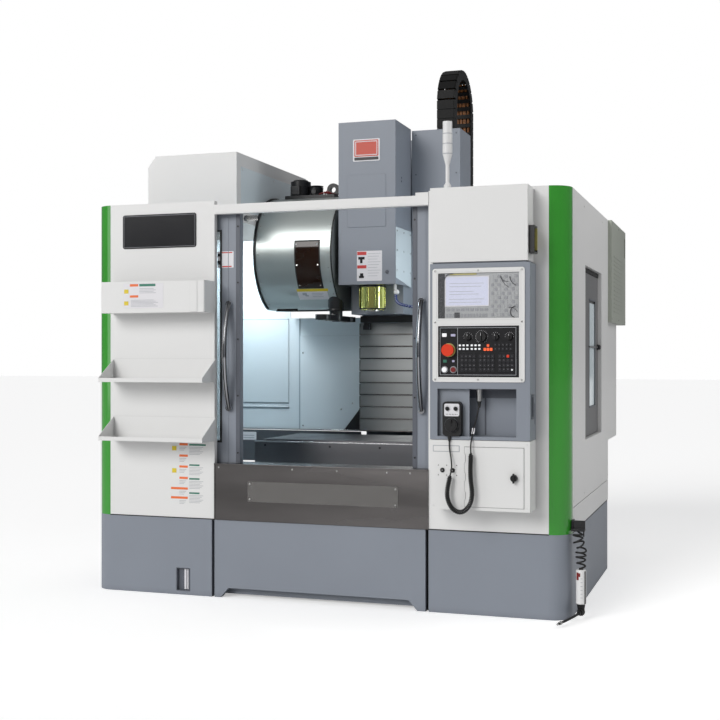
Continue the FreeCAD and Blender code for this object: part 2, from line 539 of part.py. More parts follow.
def lower_box():
    """The small white box below the console, with its lid and latch."""
    face = "-low_reach"
    blank = block("low_blank", ("low_left", "low_right"), (face, 0), ("low_low", "low_top"))
    room = block("low_room", ("low_left + low_wall", "low_right - low_wall"), (f"{face} + low_wall", "-low_wall"),
                 ("low_low + low_wall", "low_top - low_wall"))
    mouth = block("low_mouth", ("lid_left + lid_lap", "lid_right - lid_lap"), (f"{face} - 1", f"{face} + low_wall + 1"),
                  ("lid_low + lid_lap", "lid_top - lid_lap"))
    node("lower_box", cut("low_box", blank, room, mouth))
    node("lower_box_lid", block("lid", ("lid_left", "lid_right"), (f"{face} - lid_t", face), ("lid_low", "lid_top")))
    knob = rod("latch_round", "y", ("latch_x", f"{face} - lid_t - latch_high", "latch_z"), "latch_r",
               "latch_high - skin_gap")
    wing = block("latch_wing", ("latch_x - wing_w / 2", "latch_x + wing_w / 2"),
                 (f"{face} - lid_t - latch_high - wing_high", f"{face} - lid_t - latch_high + 1"),
                 ("latch_z - wing_half", "latch_z + wing_half"))
    node("latch_knob", fuse("latch", knob, wing))


def lamp():
    """The three-colour signal lamp's column, on top of the right front panel."""
    node("signal_lamp", turned("lamp", [
        (0, 0), ("lamp_base_r", 0), ("lamp_base_r", "lamp_rim"), ("lamp_pole_r", "lamp_base"),
        ("lamp_pole_r", "lamp_top - hall_h - lamp_lens - lamp_neck"), ("lamp_r", "lamp_top - hall_h - lamp_lens"),
        ("lamp_r", "lamp_top - hall_h"), (0, "lamp_top - hall_h")], ("lamp_x", "panel_t / 2", "hall_h")))


def right_side():
    """The service door in the right side panel, and the cabinet and cooling unit behind it."""
    outer = f"{HALF} - side_sunk"
    low = ("side_low + side_gap", "side_top - side_gap")
    leaf = block("side_leaf", (f"{outer} - side_t", outer), ("side_front + hinge_gap", "side_back - side_gap"), low)
    hole = block("side_view", (f"{outer} - side_t - 1", f"{outer} + 1"), ("side_glass_front", "side_glass_back"),
                 ("side_glass_low", "side_glass_top"))
    bar = block("side_bar", (f"{outer} - 1", f"{outer} + 6"), ("side_glass_front - 20", "side_back - 26"),
                ("side_latch_z - 4", "side_latch_z + 4"))
    knob = rod("side_knob", "x", (outer, "side_back - 30", "side_latch_z"), "side_latch_r", "side_sunk")
    pane = block("side_pane", (f"{outer} - side_t / 2 - glass_t / 2", f"{outer} - side_t / 2 + glass_t / 2"),
                 ("side_glass_front", "side_glass_back"), ("side_glass_low", "side_glass_top"))
    pin = rod("side_pin", "z", (outer, "side_front + hinge_gap", low[0]), "side_pin_r", f"{low[1]} - ({low[0]})")
    node("side_door", group("side_door_whole",
                            fuse("side_door_leaf", cut("side_leaf_cut", leaf, hole), bar, knob, pin), pane))
    cabinet = block("cabinet_blank", ("cab_left", f"{HALF} - cab_in"), ("hall_d", "hall_d + cab_d"),
                    ("cab_low", "cab_top"))
    niche = block("cabinet_niche", ("cool_left", f"{HALF} + 1"), ("hall_d - 1", "hall_d + cab_d + 1"),
                  ("cool_low", "cool_top"))
    node("electrical_cabinet", cut("cabinet", cabinet, niche))
    unit = block("cooler_blank", ("cool_left", f"{HALF} + cool_proud"), ("hall_d", "hall_d + cool_d"),
                 ("cool_low", "cool_top"))
    slot = block("cooler_slot", (f"{HALF} + cool_proud - cool_slot_in", f"{HALF} + cool_proud + 1"),
                 ("hall_d + cool_d - cool_slot_back - cool_slot_d", "hall_d + cool_d - cool_slot_back"),
                 ("cool_top - cool_slot_down - cool_slot_h", "cool_top - cool_slot_down"))
    node("cooling_unit", cut("cooler", unit, slot))


def slides():
    """The saddle and the slotted table that cross under the spindle, and the column behind them."""
    top = "bed_top + run_gap"
    node("saddle", block("saddle_block", ("-saddle_half", "saddle_half"), ("saddle_front", "saddle_back"),
                         (top, f"{top} + saddle_h")))
    table = block("table_blank", ("-table_half", "table_half"), ("table_front", "table_back"),
                  (f"{top} + saddle_h + run_gap", "table_top"))
    tools = []
    for i in (-2, -1, 0, 1, 2):
        middle = f"(table_front + table_back) / 2 + ({i}) * tee_pitch"
        tools.append(block(f"tee_{i + 2}", ("-table_half - 1", "table_half + 1"),
                           (f"{middle} - tee_w / 2", f"{middle} + tee_w / 2"), ("table_top - tee_deep", "table_top + 1")))
        tools.append(block(f"tee_foot_{i + 2}", ("-table_half - 1", "table_half + 1"),
                           (f"{middle} - tee_wide / 2", f"{middle} + tee_wide / 2"),
                           ("table_top - tee_deep", "table_top - tee_deep + tee_low")))
    node("work_table", cut("table", table, *tools))
    node("column", block("column_block", ("-col_half", "col_half"), ("col_front", "bed_back"), ("bed_top", "col_top")))
    cover = block("side_cover_blank", ("side_cover_left", "side_cover_right"), ("side_cover_front", "col_front"),
                  ("side_cover_low", "side_cover_top"))
    room = block("side_cover_room", ("side_cover_left + side_cover_t", "side_cover_right - side_cover_t"),
                 ("side_cover_front + side_cover_t", "col_front - side_cover_t"),
                 ("side_cover_low - 1", "side_cover_top - side_cover_t"))
    node("column_cover", cut("side_cover", cover, room))


def head():
    """The spindle head with its cover, nose, spindle and coolant hose, and the cover of its ways."""
    inner = "head_half - cover_t"
    nose_top = "cover_low + 4"
    upper = block("cast_upper", (f"-({inner})", inner), ("cast_front", "col_front - run_gap"), (nose_top, "cast_top"))
    upper = cut("cast_upper_cut", upper, block("cast_clear", ("head_half - cover_t - cast_relief", "head_half"),
                ("side_cover_front - 5", "col_front"), ("cast_low - 1", "cast_top + 1")))
    middle = block("cast_middle", ("-cast_half", "cast_half"), ("cast_step", "col_front - run_gap"), ("cast_low", nose_top))
    foot = block("cast_foot_block", ("-cast_half", "cast_half"), ("cast_foot", "col_front - run_gap"), ("foot_low", "cast_low"))
    bore = rod("cast_bore", "z", (0, "nose_d", f"{nose_top} - 1"), "spin_r + spin_gap", "spin_deep")
    node("spindle_head", cut("casting", fuse("cast_whole", upper, middle, foot), bore))
    shell = block("cover_blank", ("-head_half", "head_half"), ("cover_front", "cover_back"), ("cover_low", "cover_top"))
    room = block("cover_room", (f"-({inner})", inner), ("cover_front + cover_t", "cover_back + 1"),
                 ("cover_low - 1", "cover_top - cover_t"))
    node("head_cover", cut("cover", shell, room))
    node("spindle_nose", turned("nose", [
        ("spin_r + spin_gap", 0), ("nose_r - 8", 0), ("nose_r", 8), ("nose_r", f"{nose_top} - nose_low"),
        ("spin_r + spin_gap", f"{nose_top} - nose_low")], (0, "nose_d", "nose_low")))
    node("spindle", turned("spindle_shaft", [
        ("taper_mouth", 0), ("spin_r", 0), ("spin_r", f"{nose_top} + spin_deep - 20 - spin_low"),
        (0, f"{nose_top} + spin_deep - 20 - spin_low"), (0, "70"), ("taper_end", "70")],
        (0, "nose_d", "spin_low")))
    x, d, top = (size(name) for name in ("jet_x", "jet_d", "jet_top"))
    route = [point(x, d, top), point(x + 2, d - 4, top - 30), point(x + 18, d - 8, top - 58),
             point(x + 44, d - 10, top - 76), point(x + 72, d - 12, top - 84)]
    hose = feature("jet_hose", routed(route, size("jet_r")))
    elbow = rod("jet_elbow", "z", ("jet_x", "jet_d", "jet_top"), "jet_r + 7", f"{nose_top} - jet_top")
    node("coolant_hose", fuse("jet", hose, elbow))
    ribs = []
    pitch = "(foot_low - cover_z_low) / rib_count"
    for i in range(int(SIZES["rib_count"])):
        ribs.append(extruded(f"rib_{i}", "YZ_Plane", [
            ("rib_step", 0), ("col_front - run_gap - cover_z_front", 0),
            ("col_front - run_gap - cover_z_front", pitch), (0, pitch), (0, f"{pitch} * 0.75")],
            "cover_z_half * 2", ("-cover_z_half", "cover_z_front", f"cover_z_low + {i} * {pitch}")))
    folds = fuse("ribs", *ribs)
    node("way_cover", cut("way_folds", folds, block("way_room", ("-cover_z_half + 4", "cover_z_half - 4"),
         ("cover_z_front + 8", "col_front"), ("cover_z_low - 1", "foot_low - 4"))))


def magazine():
    """The drum magazine with its tool disc, drive and changer arm, and the white cover over its motors."""
    near = ("-drum_left + drum_t", "drum_d", "drum_z")
    room = "drum_left - drum_right - drum_t * 2"
    mouth = block("drum_mouth", ("-drum_left - rim_t - 1", "-drum_right + 1"),
                  ("drum_d - rim_r - 1", "drum_d + rim_r + 1"), ("drum_z - rim_r - 1", "drum_cut"))
    skin = cut("drum_skin", rod("drum_round", "x", near, "drum_r", room),
               rod("drum_hollow", "x", ("-drum_left", "drum_d", "drum_z"), "drum_r - drum_t",
                   "drum_left - drum_right"))
    left = fuse("drum_left_end", rod("drum_rim", "x", ("-drum_left - rim_t", "drum_d", "drum_z"), "rim_r", "rim_t"),
                rod("drum_left_plate", "x", ("-drum_left", "drum_d", "drum_z"), "drum_r", "drum_t"))
    right = rod("drum_right_plate", "x", ("-drum_right - drum_t", "drum_d", "drum_z"), "drum_r", "drum_t")
    hub = rod("drum_hub", "x", near, "axle_r - disc_gap", room)
    node("magazine_drum", group("drum_whole", *(cut(f"drum_cut_{i}", part, mouth)
                                                for i, part in enumerate((skin, left, right))), hub))
    face = "-disc_x - disc_t"
    disc = rod("disc_plate", "x", (face, "drum_d", "drum_z"), "disc_r + pot_r", "disc_t")
    boss = rod("disc_boss", "x", (f"{face} - boss_long", "drum_d", "drum_z"), "boss_r", "boss_long + disc_t")
    pots = []
    for i in range(int(SIZES["pot_count"])):
        turn = 2 * math.pi * i / SIZES["pot_count"]
        pots.append(rod(f"pot_{i}", "x", (f"{face} - pot_long", f"drum_d + pot_ring * {math.sin(turn):.6f}",
                                          f"drum_z + pot_ring * {math.cos(turn):.6f}"), "pot_r", "pot_long"))
    bore = rod("disc_bore", "x", (f"{face} - boss_long - 1", "drum_d", "drum_z"), "axle_r",
               "boss_long + disc_t + 2")
    node("tool_disc", group("disc_and_pots", cut("disc", fuse("disc_whole", disc, boss), bore), *pots))
    seat = block("seat", ("-seat_left", "-seat_right"), ("drum_d - seat_half", "drum_d + seat_half"),
                 ("seat_low", "seat_top"))
    motor = rod("motor", "z", ("-motor_x", "drum_d", "seat_top"), "motor_r", "motor_top - seat_top")
    small = rod("motor_b", "z", ("-motor_b_x", "drum_d", "seat_top"), "motor_b_r", "motor_b_top - seat_top")
    ring = rod("lift_ring", "y", ("-ring_x", "drum_d - ring_t / 2", "seat_top + ring_r - 4"), "ring_r", "ring_t")
    eye = rod("lift_eye", "y", ("-ring_x", "drum_d - ring_t", "seat_top + ring_r - 4"), "ring_in", "ring_t * 2")
    post = rod("arm_post", "z", ("-arm_x", "nose_d", "arm_hub_top + skin_gap"), "arm_post_r",
               "arm_post_top - arm_hub_top")
    brace = block("brace", ("-brace_left", "-col_half"), ("brace_front", "brace_end"),
                  ("drum_z - brace_h / 2", "drum_z + brace_h / 2"))
    around = rod("drum_around", "x", ("-drum_left - rim_t", "drum_d", "drum_z"), "drum_r + skin_gap",
                 "drum_left + rim_t")
    solid = [cut(f"drive_{i}", part, around)
             for i, part in enumerate((fuse("motors", seat, motor, small, cut("lift", ring, eye)), brace, post))]
    node("magazine_drive", group("drives", *solid))
    bar = block("arm_bar", ("-arm_x * 2", 0), ("nose_d - arm_w / 2", "nose_d + arm_w / 2"),
                ("arm_low", "arm_top"))
    parts = [bar, rod("arm_hub", "z", ("-arm_x", "nose_d", "arm_low"), "arm_hub_r", "arm_hub_top - arm_low")]
    grips = []
    for i, sign in enumerate("-+"):
        end = f"-arm_x {sign} arm_x"
        parts.append(rod(f"arm_claw_{i}", "z", (end, "nose_d", "arm_low"), "arm_claw_r", "arm_top - arm_low"))
        grips.append(rod(f"arm_grip_{i}", "z", (end, "nose_d", "arm_low - 1"), "arm_grip_r", "arm_top - arm_low + 2"))
        grips.append(block(f"arm_mouth_{i}", (f"{end} - arm_grip_r * 0.8", f"{end} + arm_grip_r * 0.8"),
                           ("nose_d - arm_claw_r - 1", "nose_d") if i else ("nose_d", "nose_d + arm_claw_r + 1"),
                           ("arm_low - 1", "arm_top + 1")))
    arm = cut("arm_flat", fuse("arm_whole", *parts), *grips)
    doc.recompute()
    parked = arm.Shape.copy()
    parked.rotate(point(size("-arm_x"), size("nose_d"), 0), Vector(0, 0, 1), size("arm_turn"))
    node("tool_arm", feature("arm", parked))
    outline = [(0, 0), ("hall_w / 2 - panel_t - tent_right", 0),
               ("hall_w / 2 - panel_t - tent_right", "tent_top - tent_low"),
               ("tent_slope_w", "tent_top - tent_low"), (0, "tent_top - tent_low - tent_slope_h")]
    skin = extruded("tent_blank", "XZ_Plane", outline, "tent_back - tent_front", (f"-({INNER})", "tent_back", "tent_low"))
    inside = [("tent_t", -1), ("hall_w / 2 - panel_t - tent_right - tent_t", -1),
              ("hall_w / 2 - panel_t - tent_right - tent_t", "tent_top - tent_low - tent_t"),
              ("tent_slope_w + tent_t", "tent_top - tent_low - tent_t"),
              ("tent_t", "tent_top - tent_low - tent_slope_h - tent_t")]
    room = extruded("tent_room", "XZ_Plane", inside, "tent_back - tent_front - tent_t * 2",
                    (f"-({INNER})", "tent_back - tent_t", "tent_low"))
    node("magazine_housing", cut("tent", skin, room))


def energy_chain():
    """The cable chain that loops over from the column to the head."""
    low, high = "chain_left", "chain_right"
    near = "(col_front + run_gap)"
    ring = f"(chain_back - {near}) / 2"
    centre = f"(chain_back + {near}) / 2"
    height = f"(chain_top - {ring})"
    outer = rod("chain_outer", "x", (low, centre, height), ring, f"{high} - {low}")
    inner = rod("chain_inner", "x", (f"{low} - 1", centre, height), f"{ring} - chain_t", f"{high} - {low} + 2")
    half = block("chain_half", (f"{low} - 2", f"{high} + 2"), (f"{near} - 1", "chain_back + 1"),
                 (f"{height} - {ring} - 1", height))
    front = block("chain_strand", (low, high), (near, f"{near} + chain_t"), ("chain_front_low", height))
    rear = block("chain_return", (low, high), ("chain_back - chain_t", "chain_back"), ("chain_back_low", height))
    node("energy_chain", fuse("chain", cut("chain_arch", outer, inner, half), front, rear))


def air_line():
    """The curled air hose at the right front corner, and the blow gun on its end."""
    axis = ("hose_x", "hose_d")
    node("air_hose", rod("hose", "z", (*axis, "hose_low"), "hose_r", "hose_top - hose_low"))
    sleeve = rod("gun_sleeve", "z", (*axis, "gun_low"), "gun_r", "hose_low - gun_low")
    head = rod("gun_head", "z", (*axis, "gun_head_low"), "gun_head_r", "gun_low - gun_head_low + 1")
    x, d, z = (size(name) for name in ("hose_x", "hose_d", "gun_head_low + jet_rise"))
    far, out, low = (size(name) for name in ("jet_side", "jet_reach", "jet_low"))
    route = [point(x, d, z), point(x - far / 8, d - out / 3, z), point(x - far, d - out, low)]
    jet = feature("gun_jet", routed(route, size("gun_jet_r")))
    node("air_gun", fuse("gun", sleeve, head, jet))
    back = "hose_d + gun_r + lever_gap"
    sides = ("hose_x - lever_half", "hose_x + lever_half")
    lever = block("lever", sides, (back, f"{back} + lever_t"), ("gun_low - lever_low", "gun_low + lever_up"))
    lug = block("lever_lug", sides, ("hose_d + gun_head_r + skin_gap", f"{back} + 1"),
                ("gun_low - lever_low", "gun_low - lever_low + lug_h"))
    pin = rod("lever_pin", "x", ("hose_x - lever_pin_half", "hose_d + gun_head_r + lever_pin_r * 2",
                                 "gun_low - lever_low + lug_h / 2"), "lever_pin_r", "lever_pin_half * 2")
    node("gun_trigger", fuse("trigger", lever, lug, pin))


def export():
    """Checks every object, then writes each sub-part to its own file."""
    doc.recompute()
    for thing in doc.Objects:
        if "Invalid" in thing.State or "Error" in thing.State:
            raise RuntimeError(f"{thing.Name} failed: {thing.State}")
    for thing in NODES:
        if thing.Shape.isNull() or not thing.Shape.isValid() or not thing.Shape.Solids:
            raise RuntimeError(f"{thing.Label} has no valid solid")
    os.makedirs("parts", exist_ok=True)
    for thing in NODES:
        thing.Shape.exportStep(f"parts/{thing.Label}.step")
        print(thing.Label, len(thing.Shape.Solids), round(thing.Shape.Volume / 1e6, 3))
    print(len(NODES), "sub-parts")


base()
enclosure()
interior()
sliding_doors()
front_fittings()
console()
pendant()
lower_box()
lamp()
right_side()
slides()
head()
magazine()
energy_chain()
air_line()
export()
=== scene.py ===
"""Finish, fittings, cords and studio of a vertical machining centre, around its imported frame."""

import math
import random

import bmesh
import bpy
from bpy.props import FloatProperty, FloatVectorProperty, IntProperty, PointerProperty
from mathutils import Matrix, Vector


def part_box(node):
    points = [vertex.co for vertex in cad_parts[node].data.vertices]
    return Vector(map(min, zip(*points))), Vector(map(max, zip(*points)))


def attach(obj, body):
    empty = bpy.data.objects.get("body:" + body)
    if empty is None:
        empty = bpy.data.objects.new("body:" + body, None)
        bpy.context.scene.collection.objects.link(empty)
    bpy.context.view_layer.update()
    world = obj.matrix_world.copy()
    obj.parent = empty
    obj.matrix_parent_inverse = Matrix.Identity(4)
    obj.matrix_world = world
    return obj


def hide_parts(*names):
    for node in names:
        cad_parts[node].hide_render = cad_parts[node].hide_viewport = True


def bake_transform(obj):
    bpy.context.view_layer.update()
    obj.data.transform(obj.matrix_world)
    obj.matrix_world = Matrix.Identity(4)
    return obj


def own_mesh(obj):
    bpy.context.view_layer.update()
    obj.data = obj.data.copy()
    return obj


bl_info = {
    "name": "Machining Centre Finish",
    "version": (1, 0, 0),
    "blender": (4, 5, 0),
    "location": "View3D > Sidebar > Machine",
    "description": "Builds the paintwork, fittings, cords and studio of a vertical machining centre",
    "category": "Object",
}

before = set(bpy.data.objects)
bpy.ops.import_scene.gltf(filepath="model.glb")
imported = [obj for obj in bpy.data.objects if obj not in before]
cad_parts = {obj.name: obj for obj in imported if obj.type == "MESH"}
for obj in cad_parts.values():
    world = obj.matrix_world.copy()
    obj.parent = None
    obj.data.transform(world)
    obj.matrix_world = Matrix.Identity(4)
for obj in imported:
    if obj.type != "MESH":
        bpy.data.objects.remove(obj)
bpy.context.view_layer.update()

# Places below are x from the middle plane, d behind the front panels and z above the floor, in millimetres.
MIDDLE_X = sum(corner[0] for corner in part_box("corner_trims")) / 2
FRONT_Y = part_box("corner_trims")[0][1]


def at(x, d, z):
    """A point in the row frame, in metres."""
    return Vector((MIDDLE_X + x / 1000, FRONT_Y + d / 1000, z / 1000))


# ------------------------------------------------------------------ settings


def colour(name, text, value):
    return FloatVectorProperty(name=name, description=text, default=value, subtype="COLOR", size=3, min=0, max=1)


def length(name, text, value):
    return FloatProperty(name=name, description=text, default=value, unit="LENGTH", min=0.0001, precision=4)


class MachineColours(bpy.types.PropertyGroup):
    white: colour("Enclosure", "Powder coat of the enclosure", (0.79, 0.79, 0.785))
    green: colour("Trim", "Gloss paint of the corner trims", (0.035, 0.30, 0.025))
    grey: colour("Base", "Paint of the base, doors, console and head", (0.245, 0.27, 0.315))
    inner: colour("Work space", "Pale sheet inside the enclosure", (0.74, 0.83, 0.88))
    drum: colour("Magazine", "Silver sheet of the tool magazine", (0.46, 0.50, 0.49))
    stop: colour("Stop button", "Emergency stop", (0.78, 0.05, 0.015))


class MachineSizes(bpy.types.PropertyGroup):
    screw: length("Screw radius", "Radius of the small cover screws", 0.0045)
    wire: length("Pendant wire", "Radius of the pendant's cable", 0.00325)
    wire_coil: length("Cable coil", "Radius of the curly cable's turns at the wire's middle", 0.0080)
    wire_pitch: length("Cable pitch", "Distance between the curly cable's turns", 0.0078)
    hose: length("Air hose", "Radius of the air hose", 0.004)
    hose_coil: length("Hose coil", "Radius of the air hose's turns at the hose's middle", 0.023)
    link: length("Chain link", "Pitch of the energy chain's links", 0.054)
    leaves: IntProperty(name="Way cover leaves", description="Number of steel leaves below the head", default=9,
        min=3)


class MachineStage(bpy.types.PropertyGroup):
    lens: FloatProperty(name="Lens", description="Focal length of the camera", default=59.2,
        subtype="DISTANCE_CAMERA")
    key: FloatProperty(name="Key light", description="Strength of the main light", default=1.6, min=0)
    fill: FloatProperty(name="Fill", description="Strength of the light from all round", default=0.27, min=0)
    floor: FloatProperty(name="Floor", description="How much the pale floor is lifted", default=0.42, min=0)
    lamp: FloatProperty(name="Work light", description="Power of the work space's lamps", default=6.0, min=0)


# ------------------------------------------------------------------ finishes


def link_all(links, pairs):
    for source, target in pairs:
        links.new(source, target)


def uneven_finish_and_shade():
    """The shared effect: mottled colour, painted shade with grime darkening corners and creases from ambient
    occlusion, uneven roughness and fine bump with softened edges.
    """
    if "Uneven Finish" in bpy.data.node_groups:
        return bpy.data.node_groups["Uneven Finish"]
    group = bpy.data.node_groups.new("Uneven Finish", "ShaderNodeTree")
    for name, kind, value in (("Colour", "Color", (0.5, 0.5, 0.5, 1)), ("Scale", "Float", 60.0),
                              ("Mottle", "Float", 0.03), ("Roughness", "Float", 0.4), ("Unevenness", "Float", 0.1),
                              ("Bump", "Float", 0.05), ("Grime", "Float", 0.2), ("Edge", "Float", 0.0012),
                              ("Stretch", "Vector", (1, 1, 1))):
        made = group.interface.new_socket(name=name, in_out="INPUT", socket_type="NodeSocket" + kind)
        made.default_value = value
    for name, kind in (("Colour", "Color"), ("Roughness", "Float"), ("Normal", "Vector")):
        group.interface.new_socket(name=name, in_out="OUTPUT", socket_type="NodeSocket" + kind)
    nodes, links = group.nodes, group.links

    def add(kind, **values):
        made = nodes.new("ShaderNode" + kind)
        for key, value in values.items():
            setattr(made, key, value)
        return made

    enter, leave = nodes.new("NodeGroupInput"), nodes.new("NodeGroupOutput")
    place, stretch = add("TexCoord"), add("VectorMath", operation="MULTIPLY")
    clouds, grain = add("TexNoise"), add("TexNoise")
    clouds.inputs["Scale"].default_value = 2.6
    clouds.inputs["Detail"].default_value = 5.0
    grain.inputs["Detail"].default_value = 4.0
    centred = add("Math", operation="SUBTRACT")
    centred.inputs[1].default_value = 0.5
    spread = add("Math", operation="MULTIPLY_ADD")
    spread.inputs[2].default_value = 1.0
    doubled = add("Math", operation="MULTIPLY")
    doubled.inputs[1].default_value = 4.0
    tone = add("VectorMath", operation="SCALE")
    # Ambient occlusion times fine noise darkens corners and creases: painted shade mixed with grime.
    corner = add("AmbientOcclusion", samples=4)
    corner.inputs["Distance"].default_value = 0.03
    hidden = add("Math", operation="SUBTRACT")
    hidden.inputs[0].default_value = 1.0
    shade_and_dirt = add("Math", operation="MULTIPLY")
    patchy = add("Math", operation="MULTIPLY")
    shade_and_dirt_mix = add("Mix", data_type="RGBA")
    shade_and_dirt_mix.inputs["B"].default_value = (0.035, 0.032, 0.03, 1)
    rough = add("Math", operation="MULTIPLY_ADD", use_clamp=True)
    edge = add("Bevel", samples=3)
    bump = add("Bump")
    bump.inputs["Distance"].default_value = 0.0015
    link_all(links, (
        (place.outputs["Object"], stretch.inputs[0]), (enter.outputs["Stretch"], stretch.inputs[1]),
        (stretch.outputs[0], clouds.inputs["Vector"]), (stretch.outputs[0], grain.inputs["Vector"]),
        (enter.outputs["Scale"], grain.inputs["Scale"]), (clouds.outputs["Fac"], centred.inputs[0]),
        (enter.outputs["Mottle"], doubled.inputs[0]), (centred.outputs[0], spread.inputs[0]),
        (doubled.outputs[0], spread.inputs[1]), (enter.outputs["Colour"], tone.inputs[0]),
        (spread.outputs[0], tone.inputs["Scale"]), (corner.outputs["AO"], hidden.inputs[1]),
        (hidden.outputs[0], patchy.inputs[0]), (grain.outputs["Fac"], patchy.inputs[1]),
        (patchy.outputs[0], shade_and_dirt.inputs[0]), (enter.outputs["Grime"], shade_and_dirt.inputs[1]),
        (shade_and_dirt.outputs[0], shade_and_dirt_mix.inputs["Factor"]), (tone.outputs[0], shade_and_dirt_mix.inputs["A"]),
        (shade_and_dirt_mix.outputs["Result"], leave.inputs["Colour"]), (centred.outputs[0], rough.inputs[0]),
        (enter.outputs["Unevenness"], rough.inputs[1]), (enter.outputs["Roughness"], rough.inputs[2]),
        (rough.outputs[0], leave.inputs["Roughness"]), (enter.outputs["Edge"], edge.inputs["Radius"]),
        (edge.outputs["Normal"], bump.inputs["Normal"]), (grain.outputs["Fac"], bump.inputs["Height"]),
        (enter.outputs["Bump"], bump.inputs["Strength"]), (bump.outputs["Normal"], leave.inputs["Normal"]),
    ))
    return group


ALONG_X, ALONG_Z = (0.04, 1, 1), (1, 1, 0.04)
